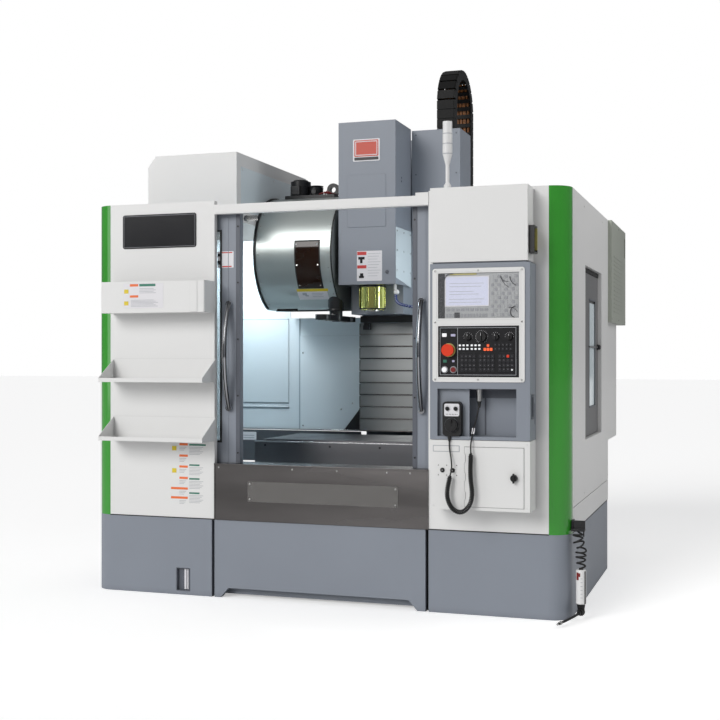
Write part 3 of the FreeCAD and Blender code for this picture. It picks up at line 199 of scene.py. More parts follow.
# Name: colour or the setting that holds it, roughness, metallic, grain scale, bump, and other values by name.
FINISHES = {
    "white powder coat": ("white", 0.36, 0, 900, 0.06, dict(Mottle=0.008, Grime=0.5)),
    "green gloss": ("green", 0.2, 0, 300, 0.03, dict(Mottle=0.05, Coat=0.5)),
    "grey machine paint": ("grey", 0.4, 0, 700, 0.1, dict(Mottle=0.03, Grime=0.6)),
    "dark grey paint": ((0.10, 0.11, 0.135), 0.4, 0, 700, 0.1, dict(Mottle=0.05, Grime=0.4)),
    "cooler coat": ((0.36, 0.385, 0.335), 0.45, 0, 800, 0.06, dict(Grime=0.4)),
    "cast paint": ((0.17, 0.185, 0.205), 0.5, 0, 260, 0.35, dict(Mottle=0.08, Grime=0.7)),
    # The brushed steel's dark colour is painted reflection: it stands for a dark floor reflected in the splash guard.
    "brushed steel": ((0.17, 0.16, 0.158), 0.24, 1, 120, 0.06,
                      dict(Mottle=0.34, Unevenness=0.7, Stretch=(0.3, 1, 1.7), Grime=0.5)),
    "leaf steel": ((0.27, 0.28, 0.28), 0.34, 1, 240, 0.05,
                   dict(Mottle=0.16, Unevenness=0.5, Stretch=ALONG_X, Grime=0.9)),
    "table steel": ((0.17, 0.17, 0.18), 0.34, 1, 300, 0.05, dict(Mottle=0.12, Stretch=ALONG_X, Grime=0.4)),
    "bright steel": ((0.55, 0.55, 0.56), 0.2, 1, 300, 0.03, dict(Mottle=0.1, Stretch=ALONG_X)),
    "pale sheet": ("inner", 0.24, 0, 400, 0.03, dict(Mottle=0.012, Grime=0.5, Coat=0.4)),
    "pale shade": ((0.36, 0.44, 0.50), 0.35, 0, 400, 0.03, dict(Grime=0.4)),
    "ground steel": ((0.56, 0.56, 0.55), 0.27, 1, 400, 0.05, dict(Stretch=(1, 0.05, 1), Mottle=0.06, Grime=0.4)),
    "warm polish": ((0.80, 0.78, 0.24), 0.11, 1, 200, 0.02, dict(Mottle=0.12, Stretch=ALONG_Z)),
    "drum sheet": ("drum", 0.33, 0.7, 300, 0.03, dict(Mottle=0.03, Stretch=ALONG_X, Grime=0.4)),
    "chrome": ((0.86, 0.87, 0.89), 0.06, 1, 200, 0.01, dict(Mottle=0.01, Grime=0.1)),
    "black paint": ((0.012, 0.012, 0.014), 0.35, 0, 500, 0.12, dict(Mottle=0.1, Grime=0.1)),
    "black plastic": ((0.009, 0.009, 0.010), 0.42, 0, 900, 0.2, dict(Mottle=0.1, Grime=0.1, Specular=0.35)),
    "chain black": ((0.004, 0.004, 0.004), 0.5, 0, 700, 0.2, dict(Mottle=0.2, Specular=0.2)),
    "black rubber": ((0.012, 0.012, 0.012), 0.55, 0, 700, 0.25, dict(Mottle=0.1, Grime=0.1)),
    "black gloss": ((0.010, 0.010, 0.012), 0.16, 0, 300, 0.02, dict(Mottle=0.2, Coat=0.6)),
    "panel film": ((0.007, 0.007, 0.009), 0.42, 0, 900, 0.08, dict(Mottle=0.1, Specular=0.25)),
    "stop red": ("stop", 0.2, 0, 300, 0.02, dict(Coat=0.4)),
    "signal red": ((0.60, 0.04, 0.035), 0.4, 0, 300, 0.03, {}),
    "deep red": ((0.20, 0.012, 0.012), 0.3, 0, 300, 0.03, {}),
    "lit orange": ((0.90, 0.12, 0.03), 0.35, 0, 300, 0.03, dict(Glow=0.35)),
    "label orange": ((0.86, 0.17, 0.04), 0.45, 0, 300, 0.03, {}),
    "label yellow": ((0.74, 0.58, 0.03), 0.45, 0, 300, 0.03, {}),
    "label green": ((0.03, 0.20, 0.13), 0.45, 0, 300, 0.03, {}),
    "label white": ((0.78, 0.77, 0.80), 0.45, 0, 500, 0.03, dict(Grime=0.1)),
    "label grey": ((0.42, 0.44, 0.47), 0.45, 0, 500, 0.03, dict(Grime=0.1)),
    "coolant blue": ((0.008, 0.035, 0.20), 0.3, 0, 300, 0.04, {}),
    "key white": ((0.85, 0.86, 0.88), 0.4, 0, 400, 0.04, dict(Glow=0.25)),
    "key lavender": ((0.52, 0.50, 0.70), 0.4, 0, 400, 0.04, {}),
    "key dark": ((0.018, 0.018, 0.022), 0.38, 0, 400, 0.06, dict(Specular=0.3)),
    "key mark": ((0.30, 0.30, 0.32), 0.5, 0, 400, 0.03, {}),
    "key grey": ((0.33, 0.34, 0.36), 0.45, 0, 400, 0.06, dict(Mottle=0.12)),
    "key green": ((0.02, 0.16, 0.10), 0.4, 0, 400, 0.04, {}),
    "keypad": ((0.46, 0.47, 0.48), 0.5, 0, 120, 0.1, dict(Mottle=0.12)),
    "pale screen": ((0.62, 0.64, 0.78), 0.15, 0, 300, 0.01, dict(Glow=0.28, Mottle=0.02)),
    "smoked window": ((0.020, 0.008, 0.004), 0.07, 0, 120, 0.02, dict(Mottle=0.3, Specular=0.3, Coat=0.15)),
    "brown cable": ((0.20, 0.075, 0.02), 0.4, 0, 300, 0.1, dict(Mottle=0.3)),
    "badge red": ((0.56, 0.06, 0.03), 0.35, 0, 300, 0.03, {}),
    # Painted light: a pale glowing colour for the side window, standing for light seen through the pane.
    "window light": ((0.66, 0.76, 0.80), 0.12, 0, 90, 0.02, dict(Mottle=0.08, Glow=0.18, Coat=0.5)),
    "door in shade": ((0.15, 0.15, 0.155), 0.45, 0, 700, 0.08, dict(Mottle=0.06, Grime=0.9)),
    "yellowed edge": ((0.52, 0.46, 0.14), 0.4, 0, 300, 0.04, {}),
    "white plastic": ((0.80, 0.80, 0.80), 0.28, 0, 400, 0.03, dict(Coat=0.3, Grime=0.2)),
    "joint shadow": ((0.012, 0.012, 0.013), 0.8, 0, 300, 0.05, {}),
    "floor": ((0.90, 0.90, 0.90), 0.9, 0, 90, 0.02, dict(Mottle=0.004, Grime=0.0, Specular=0)),
}


def finish(name):
    """A material from the table, on the shared effect."""
    if name in bpy.data.materials:
        return bpy.data.materials[name]
    tint, rough, metal, scale, bump, more = FINISHES[name]
    if isinstance(tint, str):
        tint = tuple(getattr(bpy.context.scene.machine_colours, tint))
    made = bpy.data.materials.new(name)
    made.use_nodes = True
    nodes, links = made.node_tree.nodes, made.node_tree.links
    shader = nodes["Principled BSDF"]
    shader.inputs["Metallic"].default_value = metal
    shader.inputs["Coat Weight"].default_value = more.get("Coat", 0)
    shader.inputs["Coat Roughness"].default_value = 0.08
    shader.inputs["Specular IOR Level"].default_value = more.get("Specular", 0.5)
    if "Glow" in more:
        shader.inputs["Emission Color"].default_value = (*tint, 1)
        shader.inputs["Emission Strength"].default_value = more["Glow"]
    effect = nodes.new("ShaderNodeGroup")
    effect.node_tree = uneven_finish_and_shade()
    values = dict(Colour=(*tint, 1), Roughness=rough, Scale=scale, Bump=bump)
    values.update((key, value) for key, value in more.items() if key not in ("Coat", "Glow", "Specular"))
    for key, value in values.items():
        effect.inputs[key].default_value = value
    link_all(links, ((effect.outputs["Colour"], shader.inputs["Base Color"]),
                     (effect.outputs["Roughness"], shader.inputs["Roughness"]),
                     (effect.outputs["Normal"], shader.inputs["Normal"])))
    made.diffuse_color = (*tint, 1)
    return made


def chrome_with_painted_reflection():
    """Chrome with a painted reflection: its colour is dark where it faces the viewer and bright towards its edges, as
    a bar reflecting a bright room.
    """
    made = finish("chrome")
    nodes, links = made.node_tree.nodes, made.node_tree.links
    if "Streaks" not in nodes:
        facing, painted_reflection, mixed = (nodes.new("ShaderNode" + kind) for kind in ("LayerWeight", "ValToRGB", "Mix"))
        painted_reflection.name = "Streaks"
        facing.inputs["Blend"].default_value = 0.5
        stops = painted_reflection.color_ramp.elements
        stops[0].color, stops[1].color = (0.75, 0.76, 0.78, 1), (0.9, 0.9, 0.92, 1)
        for place, value in ((0.10, 0.10), (0.34, 0.07), (0.46, 0.85)):
            stops.new(place).color = (value, value, value * 1.03, 1)
        mixed.data_type, mixed.blend_type = "RGBA", "MULTIPLY"
        mixed.inputs["Factor"].default_value = 1
        effect = nodes["Group"]
        link_all(links, ((facing.outputs["Facing"], painted_reflection.inputs[0]), (painted_reflection.outputs[0], mixed.inputs["A"]),
                         (effect.outputs["Colour"], mixed.inputs["B"]),
                         (mixed.outputs["Result"], nodes["Principled BSDF"].inputs["Base Color"])))
    return made


def clear(name, tint, alpha, rough=0.03):
    """A thin clear sheet that shows its gloss and lets most of the view through."""
    if name in bpy.data.materials:
        return bpy.data.materials[name]
    FINISHES[name] = (tint, rough, 0, 90, 0.04, dict(Mottle=0.0, Grime=0.0, Unevenness=0.05))
    made = finish(name)
    nodes, links = made.node_tree.nodes, made.node_tree.links
    shader = nodes["Principled BSDF"]
    smear = nodes.new("ShaderNodeTexNoise")
    smear.inputs["Scale"].default_value = 7.0
    veil = nodes.new("ShaderNodeMapRange")
    veil.inputs["To Min"].default_value = alpha * 0.6
    veil.inputs["To Max"].default_value = alpha * 1.4
    link_all(links, ((smear.outputs["Fac"], veil.inputs["Value"]), (veil.outputs[0], shader.inputs["Alpha"])))
    return made


# ------------------------------------------------------------------ solids


def round_rectangle(u, v, radius, steps=5):
    """The corners of a rectangle with rounded corners."""
    places = []
    for cu, cv, start in ((u[1] - radius, v[1] - radius, 0), (u[0] + radius, v[1] - radius, 90),
                          (u[0] + radius, v[0] + radius, 180), (u[1] - radius, v[0] + radius, 270)):
        for i in range(steps + 1):
            angle = math.radians(start + 90 * i / steps)
            places.append((cu + radius * math.cos(angle), cv + radius * math.sin(angle)))
    return places


def gear(radius, depth, teeth):
    """The corners of a ridged circle."""
    return [((radius - depth * (i % 4 > 1)) * math.cos(math.pi * i / (2 * teeth)),
             (radius - depth * (i % 4 > 1)) * math.sin(math.pi * i / (2 * teeth))) for i in range(teeth * 4)]


TURNS = {"x": Matrix.Rotation(math.pi / 2, 4, "Y"), "d": Matrix.Rotation(-math.pi / 2, 4, "X"),
         "z": Matrix.Identity(4)}


class Form:
    """Solids in machine millimetres that become one piece."""

    def __init__(self):
        self.mesh = bmesh.new()

    def box(self, x, d, z):
        low, high = at(x[0], d[0], z[0]), at(x[1], d[1], z[1])
        where = Matrix.Translation((low + high) / 2) @ Matrix.Diagonal((*(high - low), 1))
        bmesh.ops.create_cube(self.mesh, size=1, matrix=where)
        return self

    def tilted(self, centre, size, turn):
        """A box of a size about a centre, turned by a matrix."""
        where = Matrix.Translation(at(*centre)) @ turn @ Matrix.Diagonal((*(Vector(size) / 1000), 1))
        bmesh.ops.create_cube(self.mesh, size=1, matrix=where)
        return self

    def rod(self, axis, centre, radius, long, end=None, sides=32):
        """A cylinder or cone about its centre. Its end radius is the one further along the axis."""
        bmesh.ops.create_cone(self.mesh, cap_ends=True, segments=sides, radius1=radius / 1000,
                              radius2=(radius if end is None else end) / 1000, depth=long / 1000,
                              matrix=Matrix.Translation(at(*centre)) @ TURNS[axis])
        return self

    def ball(self, centre, radius, detail=2):
        bmesh.ops.create_icosphere(self.mesh, subdivisions=detail, radius=radius / 1000,
                                   matrix=Matrix.Translation(at(*centre)))
        return self

    def swept(self, corners, plane, low, high):
        """A closed outline on the xz, dz or xd plane, swept between two places along the third direction."""
        order = {"xz": lambda u, v, w: at(u, w, v), "dz": lambda u, v, w: at(w, u, v),
                 "xd": lambda u, v, w: at(u, v, w)}[plane]
        ends = [[self.mesh.verts.new(order(u, v, w)) for u, v in corners] for w in (low, high)]
        self.mesh.faces.new(ends[0])
        self.mesh.faces.new(ends[1][::-1])
        for i in range(len(corners)):
            j = (i + 1) % len(corners)
            self.mesh.faces.new((ends[0][i], ends[1][i], ends[1][j], ends[0][j]))
        return self

    def ridged(self, centre, radius, depth, teeth, plane, low, high):
        """A ridged round outline about a centre on the plane, swept like any other."""
        corners = [(centre[0] + u, centre[1] + v) for u, v in gear(radius, depth, teeth)]
        return self.swept(corners, plane, low, high)

    def ticks(self, centre, radius, angles, size):
        """Small bars round a centre, each pointing away from it."""
        x, d, z = centre
        for a in angles:
            place = (x + radius * math.cos(a), d, z + radius * math.sin(a))
            self.tilted(place, size, Matrix.Rotation(math.pi / 2 - a, 4, "Y"))
        return self

    def plate(self, x, z, front, thick, radius=3):
        """A flat plate with rounded corners, its front face at a place in depth."""
        return self.swept(round_rectangle(x, z, radius), "xz", front, front + thick)

    def frame(self, x, z, wide, front, thick):
        """Four strips round an opening."""
        depth = (front, front + thick)
        self.box(x, depth, (z[1] - wide, z[1])).box(x, depth, (z[0], z[0] + wide))
        inside = (z[0] + wide, z[1] - wide)
        return self.box((x[0], x[0] + wide), depth, inside).box((x[1] - wide, x[1]), depth, inside)

    def bent(self, x, turn, radius, centre, steps=24):
        """A sheet bent round an axis along x through centre (d, z), between two angles and two radii."""
        rows = []
        for i in range(steps + 1):
            a = math.radians(turn[0] + (turn[1] - turn[0]) * i / steps)
            rows.append([self.mesh.verts.new(at(w, centre[0] - r * math.cos(a), centre[1] + r * math.sin(a)))
                         for w, r in ((x[0], radius[0]), (x[1], radius[0]), (x[1], radius[1]), (x[0], radius[1]))])
        for one, two in zip(rows, rows[1:]):
            for k in range(4):
                self.mesh.faces.new((one[k], one[(k + 1) % 4], two[(k + 1) % 4], two[k]))
        self.mesh.faces.new(rows[0])
        self.mesh.faces.new(rows[-1][::-1])
        return self

    def tube(self, line, radius, sides=12):
        """A round tube along points in machine millimetres."""
        points = [at(*p) for p in line]
        rings = []
        normal = (points[1] - points[0]).orthogonal().normalized()
        for i, place in enumerate(points):
            step = (points[min(i + 1, len(points) - 1)] - points[max(i - 1, 0)]).normalized()
            normal = (normal - step * normal.dot(step)).normalized()
            side = step.cross(normal)
            rings.append([self.mesh.verts.new(place + (normal * math.cos(2 * math.pi * k / sides)
                                                       + side * math.sin(2 * math.pi * k / sides)) * radius / 1000)
                          for k in range(sides)])
        for one, two in zip(rings, rings[1:]):
            for k in range(sides):
                self.mesh.faces.new((one[k], one[(k + 1) % sides], two[(k + 1) % sides], two[k]))
        self.mesh.faces.new(rings[0][::-1])
        self.mesh.faces.new(rings[-1])
        return self

    def screws(self, places, front, axis="d", sign=-1, radius=None):
        """Low socket-head screws on a face at a place in depth, or along x for the sides."""
        radius = radius or bpy.context.scene.machine_sizes.screw * 1000
        for u, v in places:
            for r, out, high in ((radius, 0.9, 1.8), (radius * 0.55, 1.9, 0.3)):
                middle = front + sign * out
                centre = (u, middle, v) if axis == "d" else (middle, u, v)
                self.rod(axis, centre, r, high, sides=16)
        return self

    def done(self, name, finish_name, body="machine", bevel=0.5, slot=None):
        bmesh.ops.recalc_face_normals(self.mesh, faces=self.mesh.faces)
        for edge in self.mesh.edges:
            edge.smooth = len(edge.link_faces) == 2 and edge.calc_face_angle(0) < math.radians(32)
        for face in self.mesh.faces:
            face.smooth = True
        data = bpy.data.meshes.new(name)
        self.mesh.to_mesh(data)
        self.mesh.free()
        made = bpy.data.objects.new(name, data)
        bpy.context.scene.collection.objects.link(made)
        data.materials.append(finish(finish_name) if isinstance(finish_name, str) else finish_name)
        if bevel:
            soft = made.modifiers.new("Rounded edges", "BEVEL")
            soft.width = bevel / 1000
            soft.segments = 2
            soft.limit_method = "ANGLE"
            soft.angle_limit = math.radians(40)
        if body:
            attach(made, body)
        return made


def dress(finish_name, *nodes):
    """Gives CAD nodes their finish."""
    for name in nodes:
        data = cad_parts[name].data
        data.materials.clear()
        data.materials.append(finish(finish_name) if isinstance(finish_name, str) else finish_name)


def spline(name, points, radius, finish_name):
    """A tube on a NURBS spline through control points in metres."""
    data = bpy.data.curves.new(name, "CURVE")
    data.dimensions = "3D"
    data.bevel_depth = radius
    data.bevel_resolution = 3
    data.resolution_u = 6
    data.use_fill_caps = True
    run = data.splines.new("NURBS")
    run.points.add(len(points) - 1)
    for point, place in zip(run.points, points):
        point.co = (*place, 1)
    run.order_u = 3
    run.use_endpoint_u = True
    made = bpy.data.objects.new(name, data)
    bpy.context.scene.collection.objects.link(made)
    data.materials.append(finish(finish_name))
    return made


def line_of(points):
    """The line of a NURBS spline with these control points."""
    made = spline("line", points, 0, "black rubber")
    made.data.resolution_u = 24
    bare = bpy.data.meshes.new_from_object(made)
    line = [vertex.co.copy() for vertex in bare.vertices]
    data = made.data
    bpy.data.objects.remove(made)
    bpy.data.curves.remove(data)
    bpy.data.meshes.remove(bare)
    return line


def curled(line, radius, pitch, lead, wobble=0.0, seed=1):
    """Control points of a helix round a line. Its radius grows over lead at both ends."""
    draw = random.Random(seed)
    lengths = [0.0]
    for a, b in zip(line, line[1:]):
        lengths.append(lengths[-1] + (b - a).length)
    turns = int(lengths[-1] / pitch)
    swell = [1 + wobble * draw.uniform(-1, 1) for _ in range(turns + 2)]
    shift = [wobble * draw.uniform(-1, 1) for _ in range(turns + 2)]
    normal = (line[1] - line[0]).orthogonal().normalized()
    points, index = [], 0
    for i in range(turns * 12 + 1):
        turn = i / 12
        part = turn - int(turn)
        mixed = [row[int(turn)] * (1 - part) + row[int(turn) + 1] * part for row in (swell, shift)]
        along = lengths[-1] * i / (turns * 12)
        along = min(max(along + mixed[1] * pitch * (0 < i < turns * 12), 0), lengths[-1])
        while index < len(lengths) - 2 and lengths[index + 1] < along:
            index += 1
        step = (line[index + 1] - line[index]).normalized()
        share = (along - lengths[index]) / (lengths[index + 1] - lengths[index])
        middle = line[index].lerp(line[index + 1], share)
        normal = (normal - step * normal.dot(step)).normalized()
        grown = min(1.0, along / lead, (lengths[-1] - along) / lead) * min(mixed[0], 1.0)
        angle = 2 * math.pi * turn
        points.append(middle + (normal * math.cos(angle) + step.cross(normal) * math.sin(angle)) * radius * grown)
    return points


def measure(points):
    """The length of the line of these control points."""
    line = line_of(points)
    return sum((b - a).length for a, b in zip(line, line[1:]))


# ------------------------------------------------------------------ operators


class BuildOperator:
    """What the machine's operators share."""

    bl_options = {"REGISTER", "UNDO"}

    def execute(self, context):
        self.build(context)
        return {"FINISHED"}


EYE, TURNED_LEFT = (1.970, -6.2805, 1.17), math.radians(18.45)


class MACHINE_OT_camera(BuildOperator, bpy.types.Operator):
    """Places the camera at the operator's eye, to the right of the machine"""

    bl_idname = "machine.camera"
    bl_label = "Camera"

    def build(self, context):
        data = bpy.data.cameras.new("Camera")
        data.lens = context.scene.machine_stage.lens
        data.sensor_width = 36
        data.shift_y = -0.0028
        data.clip_end = 200
        made = bpy.data.objects.new("Camera", data)
        made.location = EYE
        made.rotation_euler = (math.radians(90), 0, TURNED_LEFT)
        context.scene.collection.objects.link(made)
        context.scene.camera = made


# The pendant cable's route: the wire from its connector, the curly part, and the wire to the pendant's foot.
UPPER_WIRE = ((813, -90, 977), (809, -98, 930), (799, -122, 875), (792, -156, 818), (790, -168, 780),
              (792, -170, 752))
CURL = ((792, -170, 752), (791, -175, 700), (792, -179, 635), (803, -181, 568), (788, -181, 515), (750, -181, 484),
        (706, -181, 503), (684, -180, 556), (690, -176, 610), (699, -172, 652))
LOWER_WIRE = ((699, -172, 652), (706, -169.5, 684), (700, -162, 730), (689, -154.5, 775), (690, -153, 822.5))


class MACHINE_OT_pendant_cable(BuildOperator, bpy.types.Operator):
    """Hangs the curly cable between the console and its pendant"""

    bl_idname = "machine.pendant_cable"
    bl_label = "Pendant cable"

    def build(self, context):
        sizes = context.scene.machine_sizes
        upper, curl, lower = ([at(*p) for p in run] for run in (UPPER_WIRE, CURL, LOWER_WIRE))
        turns = curled(line_of(curl), sizes.wire_coil, sizes.wire_pitch, lead=0.012)
        points = upper[:-1] + turns + lower[1:]
        cable = spline("pendant_cord", points, sizes.wire, "black rubber")
        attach(cable, "machine")
        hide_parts("pendant_cable", "pendant_curl")
        boots = Form().rod("z", (812.2, -91.5, 963), 5, 30, end=9.5).rod("z", (813, -90, 976), 10.5, 4).done(
            "cable_boot", "black rubber")
        foot = Form().rod("z", (690, -153, 812), 5.2, 24, end=8.6).done("pendant_boot", "black rubber")
        tag = Form().tilted((795.5, -139, 846), (13, 5, 30), Matrix.Rotation(-0.55, 4, "X")).done(
            "cable_tag", "label white", slot="lamp_white")
        measure(points)


# The air hose's route from its hook to the gun, and its straight run through the gun to the barrel.
HOSE = ((1234, 58, 397), (1226, 54, 378), (1230, 56, 350), (1246, 62, 322), (1240, 63, 286), (1243, 62, 252),
        (1242, 62, 228))
THROUGH_GUN = ((1242, 62, 200), (1242, 62, 150), (1242, 62, 90), (1242, 60, 52), (1240, 40, 37), (1234, 6, 36),
               (1226, -26, 32))


class MACHINE_OT_air_line(BuildOperator, bpy.types.Operator):
    """Hangs the curled air hose from its hook, with the blow gun on its end"""

    bl_idname = "machine.air_line"
    bl_label = "Air hose and gun"

    def build(self, context):
        sizes = context.scene.machine_sizes
        route = [at(*p) for p in HOSE]
        points = curled(line_of(route), sizes.hose_coil, 0.024, lead=0.012, wobble=0.22, seed=7)
        points += [at(*p) for p in THROUGH_GUN]
        hose = spline("air_line", points, sizes.hose, "black rubber")
        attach(hose, "machine")
        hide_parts("air_hose")
        x, d = 1242, 62
        sleeve = Form()
        for z, long, r, end in ((147, 148, 23, 23), (222, 4, 23, 20), (71.5, 3, 20, 23)):
            sleeve.rod("z", (x, d, z), r, long, end=end, sides=40)
        sleeve = sleeve.done("gun_sleeve", "white plastic", slot="gun_white")
        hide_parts("air_gun")
        head = Form().rod("z", (x, d, 58), 15, 26, end=19.4).rod("z", (x, d, 40), 17.5, 16, end=15.5)
        head.ball((x, d - 2, 34), 18).rod("z", (x, d, 226), 10, 10).rod("d", (x - 2, d - 18, 36), 13, 22, end=16)
        head = head.done("gun_head", "black plastic", bevel=1.0, slot="gun_white")
        jet = [(x, d, 36), (x - 4, d - 50, 36), (x - 20, d - 100, 31), (x - 46, d - 160, 24), (x - 70, d - 206, 18.5)]
        barrel = Form().tube(jet, 5.6).rod("d", (x - 5, d - 38, 36), 7.5, 30, end=11)
        barrel = barrel.done("gun_barrel", "black plastic", bevel=0, slot="gun_white")
        tip = Form().tube([(x - 60, d - 186, 20.8), (x - 66, d - 199, 19.2)], 8)
        tip.tube([(x - 66, d - 199, 19.2), (x - 73, d - 213, 17.6)], 5)
        tip = tip.done("gun_tip", "ground steel", bevel=0.4)
        side = Form().tilted((x + 19.5, d - 12.6, 146), (8, 1, 146), Matrix.Rotation(1.0, 4, "Z"))
        side = side.done("gun_side", "black plastic", slot="gun_white")
        marks = Form().tilted((x - 13, d - 19.2, 196), (12, 1.4, 34), Matrix.Rotation(-0.6, 4, "Z"))
        marks.tilted((x - 4, d - 22.7, 202), (7, 1.4, 16), Matrix.Rotation(-0.18, 4, "Z"))
        marks = marks.done("gun_mark", "deep red", bevel=0.3, slot="gun_white")
        lines = Form()
        for i in range(6):
            lines.tilted((x + 5, d - 22.4, 186 - i * 17), (9, 1.4, 2), Matrix.Rotation(0.22, 4, "Z"))
        lines = lines.done("gun_lines", "label grey", bevel=0.2, slot="gun_white")
        hook = Form().box((1199.6, 1260), (45, 79), (394.6, 404.6)).box((1199.6, 1259), (69, 77.6), (395, 441))
        hook.box((1199.6, 1205.4), (60, 124), (395, 441.4)).box((1252, 1258), (50, 58), (372, 395))
        hook.done("hose_hook", "black paint", bevel=1.5)
        dress("black plastic", "gun_trigger")
        measure(points)


class MACHINE_OT_paintwork(BuildOperator, bpy.types.Operator):
    """Paints the machine's own sheet metal, castings and glass"""

    bl_idname = "machine.paintwork"
    bl_label = "Paintwork"

    def build(self, context):
        for name, nodes in {
            "white powder coat": ("front_panels", "side_panels", "top_beam", "front_shelves", "console_hood",
                                  "console_bezel", "lower_box", "lower_box_lid", "electrical_cabinet",
                                  "magazine_housing"),
            "grey machine paint": ("base_skirts", "door_left", "door_right", "console_housing", "column_cover",
                                   "spindle_head", "head_cover"),
            "green gloss": ("corner_trims",),
            "cooler coat": ("cooling_unit",),
            "cast paint": ("machine_bed", "saddle", "column"),
            "brushed steel": ("splash_guard",),
            "ground steel": ("spindle", "tool_disc", "pendant_connector"),
            "table steel": ("work_table",),
            "door in shade": ("side_door",),
            "pale sheet": ("interior_panels",),
            "drum sheet": ("magazine_drum",),
            "warm polish": ("spindle_nose",),
            "black paint": ("magazine_drive", "tool_arm"),
            "black plastic": ("feed_dial", "mode_knob", "rapid_knob", "spindle_knob", "pendant_body",
                              "pendant_axis_knob", "pendant_step_knob", "latch_knob"),
            "stop red": ("emergency_stop",),
            "key white": ("start_button",),
            "deep red": ("hold_button",),
            "panel film": ("control_panel",),
            "keypad": ("display_unit",),
            "white plastic": ("signal_lamp",),
        }.items():
            dress(name, *nodes)
        dress(chrome_with_painted_reflection(), "handle_left", "handle_right")
        dress(clear("safety glass", (0.55, 0.62, 0.62), 0.22), "door_glass_left", "door_glass_right")


class MACHINE_OT_left_front(BuildOperator, bpy.types.Operator):
    """Fits the bare plates and colour fields of the left front panel, its document box and the base"""

    bl_idname = "machine.left_front"
    bl_label = "Left front"

    def build(self, context):
        print_on_box, print_on_panel = (-120.8, -120.4), (-0.4, 0)
        Form().plate((-1037, -629), (1717, 1886), -2.4, 2.4, 12).done("name_plate", "black gloss")
        rim = Form()
        rim.frame((-1031, -635), (1723, 1880), 1.6, -2.9, 0.6)
        rim.done("name_plate_rim", "key grey", bevel=0.1, slot="black_plastic")
        fold = Form().box((-603, -566), (-122, -120), (1393, 1543)).box((-539, -531), (-121.2, -120), (1393, 1543))
        fold.done("document_box_fold", "white powder coat", bevel=0.8)
        Form().plate((-966, -747), (1414, 1535), -120.5, 0.5, 4).done("box_label", "label white", slot="white_paint")
        bars = Form().box((-930, -884), print_on_box, (1520, 1532))
        bars.box((-930, -884), print_on_box, (1466, 1477)).done("box_label_orange", "label orange", bevel=0)
        Form().box((-878, -790), print_on_box, (1520, 1532)).done("box_label_green", "label green", bevel=0)
        Form().box((-962, -938), print_on_box, (1486, 1506)).box((-962, -938), print_on_box, (1428, 1448)).done(
            "box_label_yellow", "label yellow", bevel=0)
        lines = Form()
        for i in range(6):
            lines.box((-925, -800 + 12 * (i % 3)), (-120.7, -120.4), (1452 - i * 6, 1454 - i * 6))
        for i in range(4):
            lines.box((-878, -800 + 12 * (i % 2)), (-120.7, -120.4), (1508 - i * 7, 1510 - i * 7))
        lines.done("box_label_lines", "label grey", bevel=0)
        red, dark, grey = Form(), Form(), Form()
        for i, (wide, low) in enumerate(((1, 738), (1, 682), (1, 628), (1, 572), (2, 520), (2, 474))):
            red.box((-722 if wide == 1 else -768, -676), print_on_panel, (low, low + 11))
            for k in range(3):
                grey.box((-722, -684 - k * 6), (-0.3, 0), (low - 10 - k * 7, low - 8 - k * 7))
        for i, low in enumerate((738, 638, 570, 500)):
            dark.box((-668, -578 if i == 0 else -612), print_on_panel, (low, low + 8))
            for k in range(6):
                grey.box((-668, -592 - 9 * (k % 3)), (-0.3, 0), (low - 9 - k * 7, low - 7 - k * 7))
        red.done("panel_fields_orange", "label orange", bevel=0)
        dark.done("panel_fields_green", "label green", bevel=0)
        grey.done("panel_fields_lines", "label grey", bevel=0)
        yellow = Form()
        for low in (712, 602):
            yellow.box((-762, -738), print_on_panel, (low, low + 22))
        yellow.done("panel_fields_yellow", "label yellow", bevel=0)
        gasket = Form().box((-1108, 1108), (-1.4, 0), (378.5, 383))
        for side in (-1200.6, 1199.6):
            gasket.box((side, side + 1), (93, 1412), (378.5, 383))
        gasket.done("base_gasket", "joint shadow", bevel=0)
        seams = Form()
        for low in (-546, 538):
            seams.box((low, low + 15), (28, 29.5), (2, 378))
        seams.done("base_seams", "joint shadow", bevel=0)
        Form().box((-500, 505), (60, 64), (10, 120)).done("base_back", "grey machine paint")
        Form().box((-736, -666), (13.5, 14.8), (22, 130)).done("gauge_back", "dark grey paint", bevel=0)
        tube = Form().rod("z", (-690, 9, 76), 4, 96, sides=20).box((-700, -678), (11.5, 13.4), (26, 126))
        tube.done("gauge_scale", "label white", bevel=0.3, slot="lamp_white")
        Form().frame((-739, -663), (19, 133), 4, -0.8, 1.2).done("gauge_frame", "dark grey paint")


